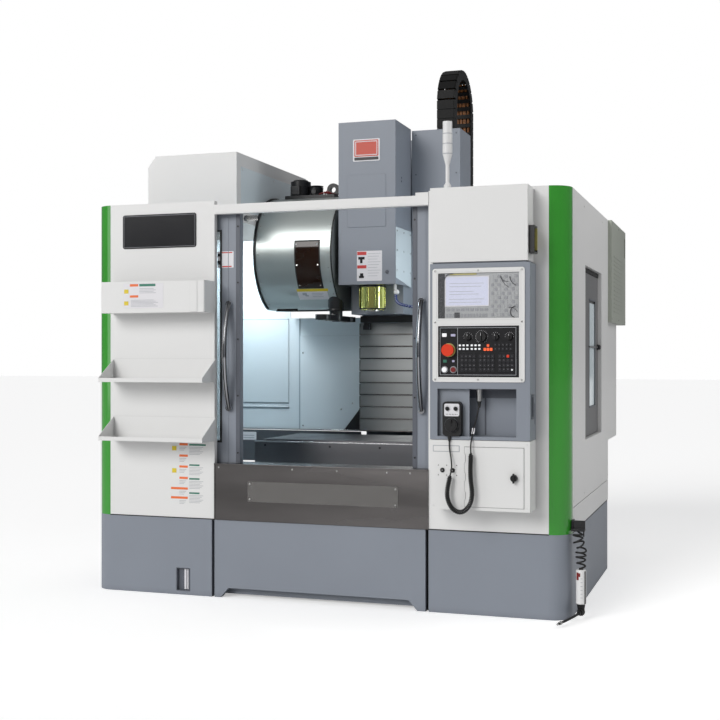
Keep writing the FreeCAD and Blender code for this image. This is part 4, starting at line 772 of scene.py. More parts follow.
class MACHINE_OT_doors(BuildOperator, bpy.types.Operator):
    """Adds the leading strips, screws, folds, window seals, hangers and rollers of the sliding doors, and the left
    door's label
    """

    bl_idname = "machine.doors"
    bl_label = "Sliding doors"

    def build(self, context):
        printed = (44.3, 44.7)
        for word, lead, way in (("left", -414, -1), ("right", 464, 1)):
            low, high = sorted((lead, lead + 22 * way))
            body = f"{word}_door"
            Form().box((low, high), (42.6, 45), (657, 1898)).done(f"{word}_door_strip", "dark grey paint", body)
            middle = lead + 11 * way
            Form().screws([(middle, z) for z in (705, 985, 1262, 1540, 1815)], 42.6).done(
                f"{word}_door_screws", "black paint", body, bevel=0.2)
            inner = lead + 62 * way
            Form().box(sorted((inner, inner + 3 * way)), (43.6, 45), (657, 1898)).done(
                f"{word}_door_fold", "grey machine paint", body)
            glass = sorted((lead + 105 * way, lead + 475 * way))
            Form().frame((glass[0] - 7, glass[1] + 7), (754, 1801), 10, 42.8, 2.2).done(
                f"{word}_window_seal", "black rubber", body)
            out, z = (-way, 1859) if word == "left" else (way, 1813)
            hang = Form().box(sorted((lead + 4 * out, lead + 76 * out)), (84, 88), (z - 13, z + 13))
            hang.box(sorted((lead + 8 * way, lead + 46 * way)), (80, 87), (z - 27, z + 21))
            hang.done(f"{word}_door_hanger", "ground steel", body)
            wheels = Form()
            for far in (14, 66):
                wheels.rod("d", (lead + far * out, 94, z), 15, 12).rod("d", (lead + far * out, 101, z), 5, 6)
            wheels.done(f"{word}_door_rollers", "black plastic", body)
        Form().plate((-536, -449), (1614, 1695), 44.6, 0.4, 3).done("door_label", "label white", "left_door")
        Form().box((-536, -518), printed, (1670, 1684)).box((-536, -518), printed, (1630, 1650)).done(
            "door_label_marks", "black paint", "left_door", bevel=0, slot="grey_paint")
        Form().box((-510, -460), printed, (1617, 1623)).box((-514, -456), printed, (1686, 1691)).done(
            "door_label_bars", "signal red", "left_door", bevel=0)


CONSOLE_FACE, BEZEL_FACE, PENDANT_FACE = -146.0, -152.0, -158.0
DIALS_Z = 1264
WHEEL = (702, 872)


class MACHINE_OT_console(BuildOperator, bpy.types.Operator):
    """Fits out the operator's console: screen, keys, dial rings and screws"""

    bl_idname = "machine.console"
    bl_label = "Console"

    def build(self, context):
        face, bezel = CONSOLE_FACE, BEZEL_FACE
        edge = [(x, z) for x in (625, 820, 1015) for z in (1074, 1557)] + [(625, 1329), (1015, 1329)]
        Form().screws(edge, bezel).done("bezel_screws", "ground steel", bevel=0.2)
        lip = Form().frame((630, 1011), (1338, 1555), 2, bezel - 0.8, 1).frame((630, 1011), (1077, 1320), 2,
            bezel - 0.8, 1)
        lip.done("bezel_lips", "white powder coat", bevel=0.3)
        pull = Form().box((1040.4, 1044), (-128, -48), (1630, 1752))
        pull.box((1040.4, 1066), (-128, -122), (1630, 1752)).box((1040.4, 1066), (-54, -48), (1632, 1648))
        pull.box((1040.4, 1066), (-122, -54), (1630, 1638)).box((1040.4, 1066), (-122, -54), (1744, 1752))
        pull.done("hood_pull", "black paint", bevel=1)
        Form().box((1044, 1066), (-54, -49), (1646, 1744)).done(
            "hood_pull_edge", "yellowed edge", bevel=1, slot="white_paint")
        catch = Form().box((1050.2, 1053), (-112, -60), (900, 1010)).box((1053, 1056), (-100, -92), (912, 998))
        catch.done("console_catch", "dark grey paint", bevel=0.8)
        # Screen
        Form().box((638, 668), (face - 1.4, face), (1347, 1546)).done("screen_band", "black gloss")
        Form().plate((672, 866), (1402, 1530), face - 2.2, 2.2, 4).done("screen_glass", "pale screen")
        Form().frame((668, 870), (1398, 1534), 5, face - 2.8, 2.6).done("screen_frame", "label white", slot="screen")
        rows = Form()
        for z in (1500, 1486, 1464, 1452, 1430, 1416):
            rows.box((688, 846 - (z % 5) * 12), (face - 2.45, face - 2.1), (z, z + 1.6))
        rows.done("screen_rows", "label grey", bevel=0, slot="screen")
        soft = Form()
        for i in range(9):
            soft.plate((676 + i * 21.5, 692 + i * 21.5), (1378, 1390), face - 2, 2, 2)
        soft.done("soft_keys", "key grey", bevel=0.3)
        lower = Form()
        for i in range(14):
            if i not in (3, 4):
                lower.plate((674 + i * 13.6, 684 + i * 13.6), (1352, 1366), face - 1.6, 1.6, 1.5)
        lower.done("lower_keys", "key grey", bevel=0.3)
        Form().box((712, 736), (face - 2.4, face), (1349, 1372)).done("drive_flap", "key dark")
        light, mid = Form(), Form()
        for i in range(8):
            for k in range(10):
                target = mid if (i * 7 + k * 3) % 5 < 2 else light
                low = (878 + i * 15.4, 1353 + k * 18.8)
                target.plate((low[0], low[0] + 12), (low[1], low[1] + 14), face - 2, 2, 2)
        light.done("keypad_light", "keypad", bevel=0.3)
        mid.done("keypad_mid", "key grey", bevel=0.3)
        Form().box((690, 812), (face - 1.8, face), (1538, 1545)).done(
            "film_tape", "yellowed edge", bevel=0.2, slot="screen")
        film = Form()
        grid = [[film.mesh.verts.new(at(640 + 361 * i / 30, face - 4.1 + 0.8 * math.sin(i * 1.7 + k * 0.9)
                                        * math.cos(k * 0.8 - i * 0.33), 1348 + 197 * k / 18)) for k in range(19)]
                for i in range(31)]
        for i in range(30):
            for k in range(18):
                film.mesh.faces.new((grid[i][k], grid[i + 1][k], grid[i + 1][k + 1], grid[i][k + 1]))
        film.done("screen_film", clear("screen film", (0.75, 0.77, 0.8), 0.10, rough=0.08), bevel=0, slot="screen")
        # Dark arcs on the screen film: creases whose dark colour is painted reflection of the film's sheen.
        folds = Form()
        for i, (x, z, r, start, sweep) in enumerate(((985, 1536, 62, 185, 60), (1004, 1528, 42, 180, 70),
                                                     (950, 1540, 34, 200, 80), (990, 1372, 26, 100, 150),
                                                     (966, 1362, 30, 20, 90), (700, 1512, 34, 80, 90))):
            arc = []
            for k in range(13):
                a = math.radians(start + sweep * k / 12)
                arc.append((min(x + r * math.cos(a), 1001), face - 4.4, min(max(z + r * math.sin(a), 1349), 1544)))
            folds.tube(arc, 0.9 + 0.5 * (i % 2), sides=6)
        folds.done("film_folds", "panel film", bevel=0, slot="screen")
        # Switch panel
        trim = Form().frame((645, 989), (1094, 1305), 2, face - 0.7, 0.7).box((725, 727), (face - 0.7, face),
            (1096, 1303))
        trim.done("switch_outline", "label grey", bevel=0.2, slot="panel_film")
        keys = {"key white": Form(), "key lavender": Form(), "key dark": Form(), "key green": Form(),
                "lit orange": Form(), "key mark": Form(), "stop red": Form()}

        def key(name, x, z, wide, high, out=3.0):
            keys[name].plate((x - wide / 2, x + wide / 2), (z - high / 2, z + high / 2), face - out, out, min(wide,
                high) / 5)

        key("key white", 666, 1272, 21, 16)
        key("key lavender", 706, 1271, 21, 11)
        key("key dark", 666, 1290, 18, 5, 0.8)
        key("key dark", 706, 1290, 18, 5, 0.8)
        key("key green", 669, 1156, 17, 13)
        key("key lavender", 707, 1156, 11, 9)
        for x in (737, 754, 771, 791, 808, 825):
            for z in (1226, 1210):
                key("key white", x, z, 10, 8)
        for x in (850, 864, 878):
            key("lit orange", x, 1208, 12, 13)
        key("lit orange", 864, 1225, 11, 11)
        for x in (897, 914, 931, 948, 965):
            for z in (1228, 1210):
                key("key dark", x, z, 12, 12)
                key("key mark", x, z, 3, 1.6, 3.3)
        for first in (740, 823, 910):
            for i in range(4):
                for k in range(4):
                    x, z = first + 7 + i * 18, 1178 - k * 20
                    key("key dark", x, z, 15, 16)
                    key("key mark", x, z + (3 if k % 2 else 0), 5 if (i + k) % 3 else 2, 1.8, 3.3)
            key("key dark", first + 34, 1192, 60, 2.4, 0.8)
        key("stop red", 953, 1178, 12, 12, 3.6)
        key("key white", 971, 1118, 7, 7, 3.8)
        for name, form in keys.items():
            form.done("keys_" + name.replace(" ", "_"), name, bevel=0.4,
                slot="panel_film" if "key" in name else "stop_red")
        Form().rod("d", (686, face - 0.8, 1205), 30.5, 1.6, sides=48).done(
            "stop_ring", "yellowed edge", bevel=0.3, slot="panel_film")
        collars = Form()
        for x in (667, 707):
            collars.ridged((x, 1118), 15.5, 0, 8, "xz", face - 1.6, face)
        collars.done("button_collars", "key grey", bevel=0.3, slot="panel_film")
        ticks = Form()
        for x, radius, count, sweep in ((773, 19, 9, 210), (835, 27, 21, 300), (897, 19, 5, 110), (959, 19, 9, 180)):
            angles = [math.radians(90 - sweep / 2 + sweep * i / (count - 1)) for i in range(count)]
            ticks.ticks((x, face - 0.3, DIALS_Z), radius, angles, (1.1, 0.6, 4))
        ticks.done("dial_ticks", "label white", bevel=0, slot="panel_film")
        for body, x, radius in (("feed_dial", 835, 21), ("mode_knob", 773, 14), ("rapid_knob", 897, 14),
                                ("spindle_knob", 959, 14)):
            high = 9 if body == "feed_dial" else 7
            Form().ridged((x, DIALS_Z), radius + 1.2, 1.0, 24, "xz", face - high, face - 0.6).done(
                f"{body}_grip", "black plastic", body, bevel=0.2)
            tip = face - 22.4 if body == "feed_dial" else face - 18.4
            Form().box((x - 0.8, x + 0.8), (tip, tip + 0.6), (DIALS_Z + 4, DIALS_Z + radius - 3)).done(
                f"{body}_line", "label white", body, bevel=0, slot="black_plastic")
        # Bay
        Form().box((788, 838), (-145, -40), (1030, 1032.5)).done("bay_plate", "dark grey paint")
        Form().ridged((813, -90), 15, 0, 2, "xd", 1018, 1030).rod("z", (813, -90, 984), 14, 8).done(
            "connector_nut", "ground steel")
        # Dark strips on the bay's back wall, under its top plate and one upright: painted shade.
        shade = Form().box((636, 988), (-39.6, -38.6), (990, 1031)).box((826, 832), (-39.6, -38.6), (824, 990))
        shade.done("bay_folds", "dark grey paint")


class MACHINE_OT_pendant(BuildOperator, bpy.types.Operator):
    """Adds the pendant's face plate, hand wheel and back shell"""

    bl_idname = "machine.pendant"
    bl_label = "Pendant"

    def build(self, context):
        face = PENDANT_FACE
        Form().plate((668, 737), (911, 967), face - 1.2, 1.4, 8).done(
            "pendant_face", "label white", slot="black_plastic")
        marks = Form()
        for x in (683, 721):
            angles = [math.radians(30 + 30 * i) for i in range(5)]
            marks.ticks((x, face - 1.4, 945), 13, angles, (1, 0.4, 3))
        for i in range(8):
            marks.box((676 + i * 7, 679 + i * 7), (face - 1.5, face - 1.1), (918, 922))
        marks.done("pendant_marks", "black paint", bevel=0, slot="black_plastic")
        Form().ridged(WHEEL, 33.5, 0, 10, "xz", face - 2.4, face).done("wheel_scale", "key dark")
        ticks = Form()
        angles = [2 * math.pi * i / 50 for i in range(50)]
        ticks.ticks((WHEEL[0], face - 2.6, WHEEL[1]), 31.5, angles, (0.6, 0.4, 2.4))
        ticks.done("wheel_ticks", "label grey", bevel=0, slot="black_plastic")
        wheel = Form().ridged(WHEEL, 29, 1.2, 30, "xz", face - 14, face - 3)
        wheel.ridged(WHEEL, 22, 0, 10, "xz", face - 15.6, face - 13.8)
        wheel.rod("d", (WHEEL[0], face - 20, 890), 5, 12, end=6.2).rod("d", (WHEEL[0], face - 14, WHEEL[1]), 5, 8)
        wheel = wheel.done("hand_wheel", "black plastic", "pendant_wheel")
        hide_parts("pendant_wheel")
        for body, x in (("pendant_axis_knob", 683), ("pendant_step_knob", 721)):
            bar = Form().box((x - 2.2, x + 2.2), (face - 12, face - 7.6), (937, 953))
            bar.done(f"{body}_bar", "black plastic", body, bevel=0.8)
        back = Form().plate((658, 746), (832, 968), -136, 10, 14)
        back.done("pendant_band", "black rubber", bevel=1.5, slot="black_plastic")


class MACHINE_OT_lower_box(BuildOperator, bpy.types.Operator):
    """Adds the lower box's sockets, label field and door joint"""

    bl_idname = "machine.lower_box"
    bl_label = "Lower box"

    def build(self, context):
        face = CONSOLE_FACE
        sockets, dark = Form(), Form()
        for x in (657, 703):
            sockets.rod("d", (x, face - 1.5, 670), 10.5, 3).rod("d", (x, face - 4, 670), 8, 4)
            dark.rod("d", (x, face - 6.1, 670), 3, 0.4)
        sockets.done("sockets", "black plastic", bevel=0.5)
        dark.done("socket_pins", "ground steel", bevel=0)
        Form().screws([(x, z) for x in (638, 676, 722) for z in (692, 648)], face, radius=2.6).done(
            "socket_screws", "ground steel", bevel=0.2)
        Form().plate((613, 735), (752, 781), face - 0.7, 0.8, 3).done("box_field", "label grey")
        Form().plate((616, 732), (755, 778), face - 1, 0.6, 2).done("box_field_inner", "white powder coat")
        Form().frame((756.4, 1024.6), (509.4, 776.6), 1.6, face - 0.25, 0.4).done(
            "lid_joint", "joint shadow", bevel=0)
        hinge = Form()
        for z in (560, 643, 726):
            hinge.rod("z", (759.5, face - 4.4, z), 3.2, 34, sides=16)
        hinge.done("lid_hinges", "white powder coat", bevel=0.3)
        ring = Form().rod("d", (981, face - 4.2, 644), 15.5, 2.4)
        ring.done("latch_ring", "black plastic", bevel=0.5)
        Form().screws([(616, 512), (744, 512), (1036, 512), (1036, 790)], face, radius=3).done(
            "lower_box_screws", "white powder coat", bevel=0.2)


class MACHINE_OT_work_space(BuildOperator, bpy.types.Operator):
    """Adds the folds, seams and steel guards inside the enclosure and the clear sign plate in front"""

    bl_idname = "machine.work_space"
    bl_label = "Work space"

    def build(self, context):
        Form().box((-1050, -651), (1270.5, 1275), (905, 1405)).box((-1050, -651), (1268, 1275), (876, 884)).done(
            "wall_panel", "pale sheet", bevel=2.5)
        seam = Form().box((-586, -578), (1273, 1275), (746, 1403)).box((-1050, -651), (1269.8, 1270.6), (1399, 1403))
        seam.box((-1050, -651), (1274, 1274.9), (868, 874)).box((-1050, -651), (1273.6, 1274.9), (898, 903))
        seam.done("wall_seams", "pale shade", bevel=0)
        Form().box((-578, -186), (1271, 1275), (748, 1300)).done("wall_panel_right", "pale sheet", bevel=2.5)
        # Dark triangle in the corner: painted shade standing for the shaded triangular opening there.
        Form().swept([(-298, 752), (-186, 752), (-186, 896)], "xz", 1262, 1270).done(
            "corner_gusset", "joint shadow", bevel=1)
        Form().screws([(-320, 870), (-250, 905), (-560, 770), (-560, 1200)], 1271).done(
            "wall_screws", "ground steel", bevel=0.2)
        Form().box((-1058, 1058), (1258, 1274), (744, 752)).done("wall_foot", "bright steel", bevel=1)
        low = Form().box((-1050, -195), (1262, 1270), (556, 741)).box((195, 375), (1262, 1270), (556, 741))
        low.box((375, 1050), (1262, 1270), (556, 704))
        low.done("wall_apron", "table steel", "saddle", bevel=0.6)
        Form().plate((-951, -856), (679, 727), 1260.5, 1.5, 4).done(
            "apron_plate", "label white", "saddle", slot="inner_sheet")
        Form().box((-940, -868), (1260, 1260.6), (690, 694)).box((-940, -868), (1260, 1260.6), (704, 708)).done(
            "apron_plate_lines", "label grey", "saddle", bevel=0, slot="inner_sheet")
        Form().plate((-352, 408), (474, 572), -7.4, 2.2, 4).done(
            "sign_plate", clear("clear acrylic", (0.3, 0.29, 0.28), 0.3), bevel=0.4, slot="window")
        Form().screws([(x, z) for x in (-340, 396) for z in (486, 560)], -7.4).done(
            "sign_screws", "ground steel", bevel=0.2)
        Form().screws([(x, 636) for x in (-505, -120, 107, 354, 466)], -5).done(
            "guard_screws", "ground steel", bevel=0.2, slot="stainless")
        rail = Form().box((-529, 551), (-9, -5), (648, 655)).box((-531, -524), (-7, -5), (382, 655))
        rail.box((546, 553), (-7, -5), (382, 655)).done("guard_rolled_edge", "brushed steel", bevel=1.5)
        apron = Form().box((-560, 1030), (560, 564), (560, 724)).box((-560, 1030), (556, 566), (556, 564))
        apron.done("saddle_apron", "table steel", "saddle", bevel=0.5)
        Form().box((-560, 1030), (557, 566), (722, 729)).done("saddle_apron_lip", "bright steel", "saddle", bevel=1)
        Form().screws([(x, 705) for x in (-500, -133, 141, 480, 800)], 560, radius=6).done(
            "apron_screws", "black paint", "saddle", bevel=0.2, slot="stainless")
        stops = Form().box((-520, -500), (575, 1075), (690, 736)).box((500, 520), (575, 1075), (690, 736))
        stops.done("table_end_troughs", "cast paint", "table", bevel=2)


class MACHINE_OT_way_cover(BuildOperator, bpy.types.Operator):
    """Builds the steel leaves that cover the column's ways below the head"""

    bl_idname = "machine.way_cover"
    bl_label = "Way cover"

    def build(self, context):
        count = context.scene.machine_sizes.leaves
        low, top = 750.0, 1371.0
        pitch = (top - low) / count
        leaves, lips = Form(), Form()
        for i in range(count):
            z = low + i * pitch
            leaves.swept([(1176, z), (1179.5, z + pitch), (1323, z + pitch), (1323, z)], "dz", -172, 172)
            lips.box((-174.5, 174.5), (1175, 1178), (z + 0.3, z + 7))
            lips.box((-176, -172), (1176, 1320), (z + 1, z + pitch - 4)).box((172, 176), (1176, 1320),
                                                                              (z + 1, z + pitch - 4))
        cover = leaves.done("way_cover_leaves", "leaf steel", bevel=0)
        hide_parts("way_cover")
        edge = lips.done("way_cover_lips", "brushed steel", bevel=0)
        for piece in (cover, edge):
            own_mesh(piece)
        # Black band at the head's foot: a rubber wiper, and painted shadow below the head on top of the way cover.
        Form().box((-158, 158), (1140, 1150), (1372, 1409)).done(
            "head_wiper", "black rubber", "head", bevel=1, slot="black_metal")
        Form().box((-146, -104), (1150, 1170), (1331, 1357)).box((-140, -110), (1150, 1156), (1357, 1374)).done(
            "wiper_block", "black paint", "head", bevel=1)


class MACHINE_OT_spindle_head(BuildOperator, bpy.types.Operator):
    """Adds the head cover's bare plates, raised panel, side sheet, nose rings and coolant nozzle"""

    bl_idname = "machine.spindle_head"
    bl_label = "Spindle head"

    def build(self, context):
        printed = (774, 774.6)
        nose_d = 875
        Form().plate((-109, 108), (1874, 2156), 772.6, 3, 10).done(
            "head_panel", "grey machine paint", "head", bevel=1.6)
        Form().plate((-78, 74), (2228, 2348), 773, 2.2, 6).done("badge_plate", "label white", "head")
        Form().plate((-70, 66), (2254, 2342), 772.2, 1.2, 5).done("badge_field", "badge red", "head")
        Form().plate((-70, 66), (2234, 2250), 772.2, 1.2, 3).done(
            "badge_strip", "black paint", "head", slot="grey_paint")
        Form().plate((-56, 86), (1584, 1746), 774.4, 0.8, 3).done("head_label", "label white", "head")
        Form().box((-54, -2), printed, (1724, 1742)).box((-54, -2), printed, (1652, 1669)).done(
            "head_label_red", "signal red", "head", bevel=0)
        Form().frame((-64, 60), (2260, 2336), 4, 771.9, 0.6).done("badge_line", "label white", "head", bevel=0)
        lines = Form()
        for i in range(9):
            lines.box((6, 78 - 9 * (i % 3)), (774.1, 774.6), (1730 - i * 15, 1732 - i * 15))
        lines.done("head_label_lines", "label grey", "head", bevel=0, slot="grey_paint")
        marks = Form().box((-48, -12), printed, (1700, 1714)).box((-38, -24), printed, (1680, 1700))
        marks.box((-44, -16), printed, (1600, 1612)).box((-38, -20), printed, (1612, 1626))
        marks.done("head_label_marks", "panel film", "head", bevel=0, slot="grey_paint")
        plug = Form().rod("d", (114, 773, 1631), 9, 5, end=10).rod("d", (114, 770.4, 1631), 5, 2)
        plug.done("head_plug", "dark grey paint", "head", bevel=0.6)
        sheet = Form().swept([(778, 1600), (1072, 1560), (1072, 1872), (778, 1872)], "dz", 161.2, 163)
        sheet.done("head_side_sheet", "pale sheet", "head", bevel=0.4)
        Form().screws([(d, z) for d in (800, 925, 1052) for z in (1640, 1748, 1852)], 163, axis="x", sign=1).done(
            "head_side_screws", "ground steel", "head", bevel=0.2)
        lid = Form().box((-150, 150), (786, 1064), (2443, 2444.6)).box((-60, 60), (880, 990), (2436, 2440))
        lid.done("head_lid", "grey machine paint", "head", bevel=0.6)
        Form().screws([(886, 2147), (886, 2128)], 161, axis="x", sign=1, radius=5).done(
            "head_screws", "dark grey paint", "head", bevel=0.2)
        Form().box((-158, 164), (1312, 1322), (2004, 2428)).done("column_sheet", "grey machine paint", bevel=1)
        rings = Form().rod("z", (0, nose_d, 1560), 75, 10, sides=64).rod("z", (0, nose_d, 1438), 72.8, 6, sides=64)
        rings.done("nose_rings", "black paint", "head", bevel=1, slot="machined_nose")
        screws = Form()
        for i in range(8):
            a = math.pi * (i + 0.5) / 4
            screws.rod("z", (56 * math.cos(a), nose_d + 56 * math.sin(a), 1431), 5, 3, sides=12)
        for i in range(12):
            a = math.pi * i / 6
            screws.rod("z", (72 * math.cos(a), nose_d + 72 * math.sin(a), 1500), 2.2, 100, sides=8)
        screws.done("nose_ribs", "warm polish", "head", bevel=0.3)
        # Segmented coolant nozzle
        bend = ((150, 820, 1512), (146, 820, 1488), (164, 818, 1462), (204, 815, 1450), (244, 812, 1443))
        line = line_of([at(*p) for p in bend])
        beads = 14
        blue, white = Form(), Form()
        for i in range(beads):
            spot = line[round((len(line) - 1) * i / (beads - 1))]
            spot = Vector(((spot.x - MIDDLE_X) * 1000, (spot.y - FRONT_Y) * 1000, spot.z * 1000))
            blue.ball(spot, 8.4)
            white.ball(spot - Vector((0, 5.2, -1)), 3.9, detail=1)
        nozzle = blue.done("coolant_beads", "coolant blue", "head", bevel=0)
        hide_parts("coolant_hose")
        white.done("coolant_joints", "label white", "head", bevel=0, slot="coolant_blue")
        fitting = Form().ball((153, 820, 1524), 15.5, detail=3).rod("z", (146, 820, 1552), 8, 30, sides=6)
        fitting.done("coolant_fitting", "white plastic", "head", bevel=0.6)


class MACHINE_OT_magazine(BuildOperator, bpy.types.Operator):
    """Adds the magazine's window, labels, gaskets with painted shade at the drum's right end, and motor fittings"""

    bl_idname = "machine.magazine"
    bl_label = "Tool magazine"

    def build(self, context):
        axle = (1055, 1750)
        around = (-65, 245)
        # Black bands round the drum's ends; the right one, at x -192 to -184, is painted shade for the drum's shaded
        # right face.
        Form().bent((-641, -629), around, (331, 337.5), axle, 64).bent((-192, -184), around, (330, 333), axle,
            64).done("drum_gaskets", "black rubber", bevel=0)
        Form().bent((-393, -258), (9, -35.5), (330, 333.5), axle).done("drum_window", "smoked window", bevel=0.6)
        Form().bent((-400, -251), (10.5, -37), (330, 331.6), axle).done("drum_window_seal", "black rubber", bevel=0.3)
        heads = Form()
        for x in (-386, -265):
            for turn in (6.5, -13, -33):
                a = math.radians(turn)
                heads.tilted((x, axle[0] - 334.4 * math.cos(a), axle[1] + 334.4 * math.sin(a)), (8, 2.2, 8),
                             Matrix.Rotation(a, 4, "X"))
        heads.done("drum_window_screws", "ground steel", bevel=1)
        Form().bent((-413, -230), (-37.5, -40.5), (330, 331.4), axle).done(
            "drum_label_band", "label yellow", bevel=0, slot="drum_sheet")
        Form().bent((-413, -238), (-40.5, -51), (330, 331.2), axle).done(
            "drum_label", "label white", bevel=0, slot="drum_sheet")
        marks = Form().bent((-385, -360), (-42, -45), (331, 331.6), axle).bent((-372, -352), (-45, -46.5),
            (331, 331.6), axle)
        marks.bent((-330, -262), (-42.5, -43), (331, 331.6), axle).bent((-330, -270), (-44.5, -45), (331, 331.6),
            axle)
        marks.bent((-330, -266), (-46.5, -47), (331, 331.6), axle)
        marks.done("drum_label_marks", "label grey", bevel=0, slot="drum_sheet")
        rivets = Form()
        for i in range(12):
            a = math.radians(-58 + i * 14)
            for x in (-612, -206):
                rivets.ball((x, axle[0] - 330 * math.cos(a), axle[1] + 330 * math.sin(a)), 4, detail=1)
        rivets.done("drum_rivets", "ground steel", bevel=0)
        for x, r, low, top in ((-489, 57.5, 2092, 2176), (-394, 38, 2092, 2140)):
            fins = Form()
            for k in range(6):
                fins.ridged((x, 1055), r + 2.5, 0, 12, "xd", low + 8 + k * 9, low + 12 + k * 9)
            fins.rod("z", (x, 1055, top + 5), r * 0.82, 10, end=r * 0.7)
            fins.done(f"motor_fins_{abs(x)}", "black paint", bevel=0.8)
        boxes = Form().box((-520, -470), (985, 1000), (2098, 2146)).box((-408, -380), (1008, 1018), (2100, 2126))
        boxes.done("motor_terminals", "black paint", bevel=2)
        Form().rod("z", (-394, 1030, 2098), 7, 14, sides=6).done(
            "motor_gland", "warm polish", bevel=0.6, slot="ground_steel")
        wires = Form()
        for k, x in enumerate((-360, -345, -332)):
            wires.tube([(x, 1010 + k * 8, 2096), (x + 20, 1004, 2104 + k * 4), (x + 44, 1010, 2100), (x + 60, 1040,
                2097)], 3.4)
        wires.done("motor_wires", "deep red", bevel=0, slot="black_metal")
        flap = Form().box((-534, -412), (792, 812), (1427, 1433)).box((-534, -412), (808, 812), (1433, 1442))
        flap.done("pot_flap", "black paint", bevel=0.8)
        arm = Form().rod("z", (-211, 875, 1372), 22, 4, sides=6).rod("z", (-211, 875, 1436), 48, 12, end=44)
        arm.done("arm_collar", "black paint", bevel=1)
        claws = Form()
        for side in (-1, 1):
            claws.rod("z", (-211, 875 + side * 150, 1372.4), 9, 3.2, sides=6)
            claws.box((-224, -198), (875 + side * 60 - 12, 875 + side * 60 + 12), (1403, 1408))
        claws.done("arm_bolts", "ground steel", "tool_arm", bevel=0.5)
        side = Form().box((-643.2, -641.6), (560, 1480), (1960, 2200))
        side.done("housing_side_panel", "pale sheet", bevel=0.6)
        Form().screws([(d, z) for d in (580, 1020, 1460) for z in (1975, 2185)], -641.6, axis="x", sign=1).done(
            "housing_screws", "white powder coat", bevel=0.2)


class MACHINE_OT_energy_chain(BuildOperator, bpy.types.Operator):
    """Builds the energy chain link by link, with the cables inside it"""

    bl_idname = "machine.energy_chain"
    bl_label = "Energy chain"

    def build(self, context):
        left, right, thick = 243, 351, 62
        front, back, crown, near_low, far_low = 1325.3, 1795, 2867, 2330, 1960
        radius = (back - front) / 2 - thick / 2
        middle = (back + front) / 2
        spring = crown - (back - front) / 2
        pitch = context.scene.machine_sizes.link * 1000
        rise, arc, fall = spring - far_low, math.pi * radius, spring - near_low
        total = rise + arc + fall
        count = round(total / pitch)

        def place(s):
            """Depth, height and slope of the chain's middle line."""
            if s < rise:
                return middle + radius, far_low + s, math.pi / 2
            if s < rise + arc:
                a = (s - rise) / radius
                return middle + radius * math.cos(a), spring + radius * math.sin(a), math.pi / 2 + a
            return middle - radius, spring - (s - rise - arc), math.pi * 1.5

        links, caps, cables = Form(), Form(), Form()
        step = total / count
        across = (left + right) / 2
        for i in range(count):
            d, z, slope = place((i + 0.5) * step)
            turn = Matrix.Rotation(slope, 4, "X")
            for x in (left + 4, right - 4):
                links.tilted((x, d, z), (7.6, step * 0.94, thick - 8), turn)
                links.tilted((x + (3 if x < across else -3), d, z), (7, step * 0.6, thick - 20), turn)
            for out, wide in ((-1, 0.96), (1, 0.42)):
                nd, nz = math.sin(slope) * out, -math.cos(slope) * out
                far = -(thick / 2 - 4)
                caps.tilted((across, d + nd * far, z + nz * far), (right - left - 16, step * wide, 5.5), turn)
            jd, jz, _ = place(i * step)
            links.rod("x", (across, jd, jz), 9, right - left, sides=16)
        for k, (x, shift, r) in enumerate(((264, 12, 8), (284, 13, 9), (305, 11, 11), (329, 13, 8))):
            line = []
            for i in range(61):
                d, z, slope = place(6 + (total - 12) * i / 60)
                line.append((x, d - math.sin(slope) * shift, z + math.cos(slope) * shift))
            cables.tube(line, r, sides=10)
        brackets = Form().box((left, right), (back - 60, back - 2), (far_low, far_low + 9))
        pieces = [links.done("chain_links", "chain black", None, bevel=0), caps.done(
            "chain_bars", "chain black", None, bevel=0), cables.done("chain_cables", "brown cable", None, bevel=0)]
        for piece in pieces:
            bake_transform(piece)
        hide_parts("energy_chain")
        brackets.done("chain_bracket", "ground steel", bevel=0.5)


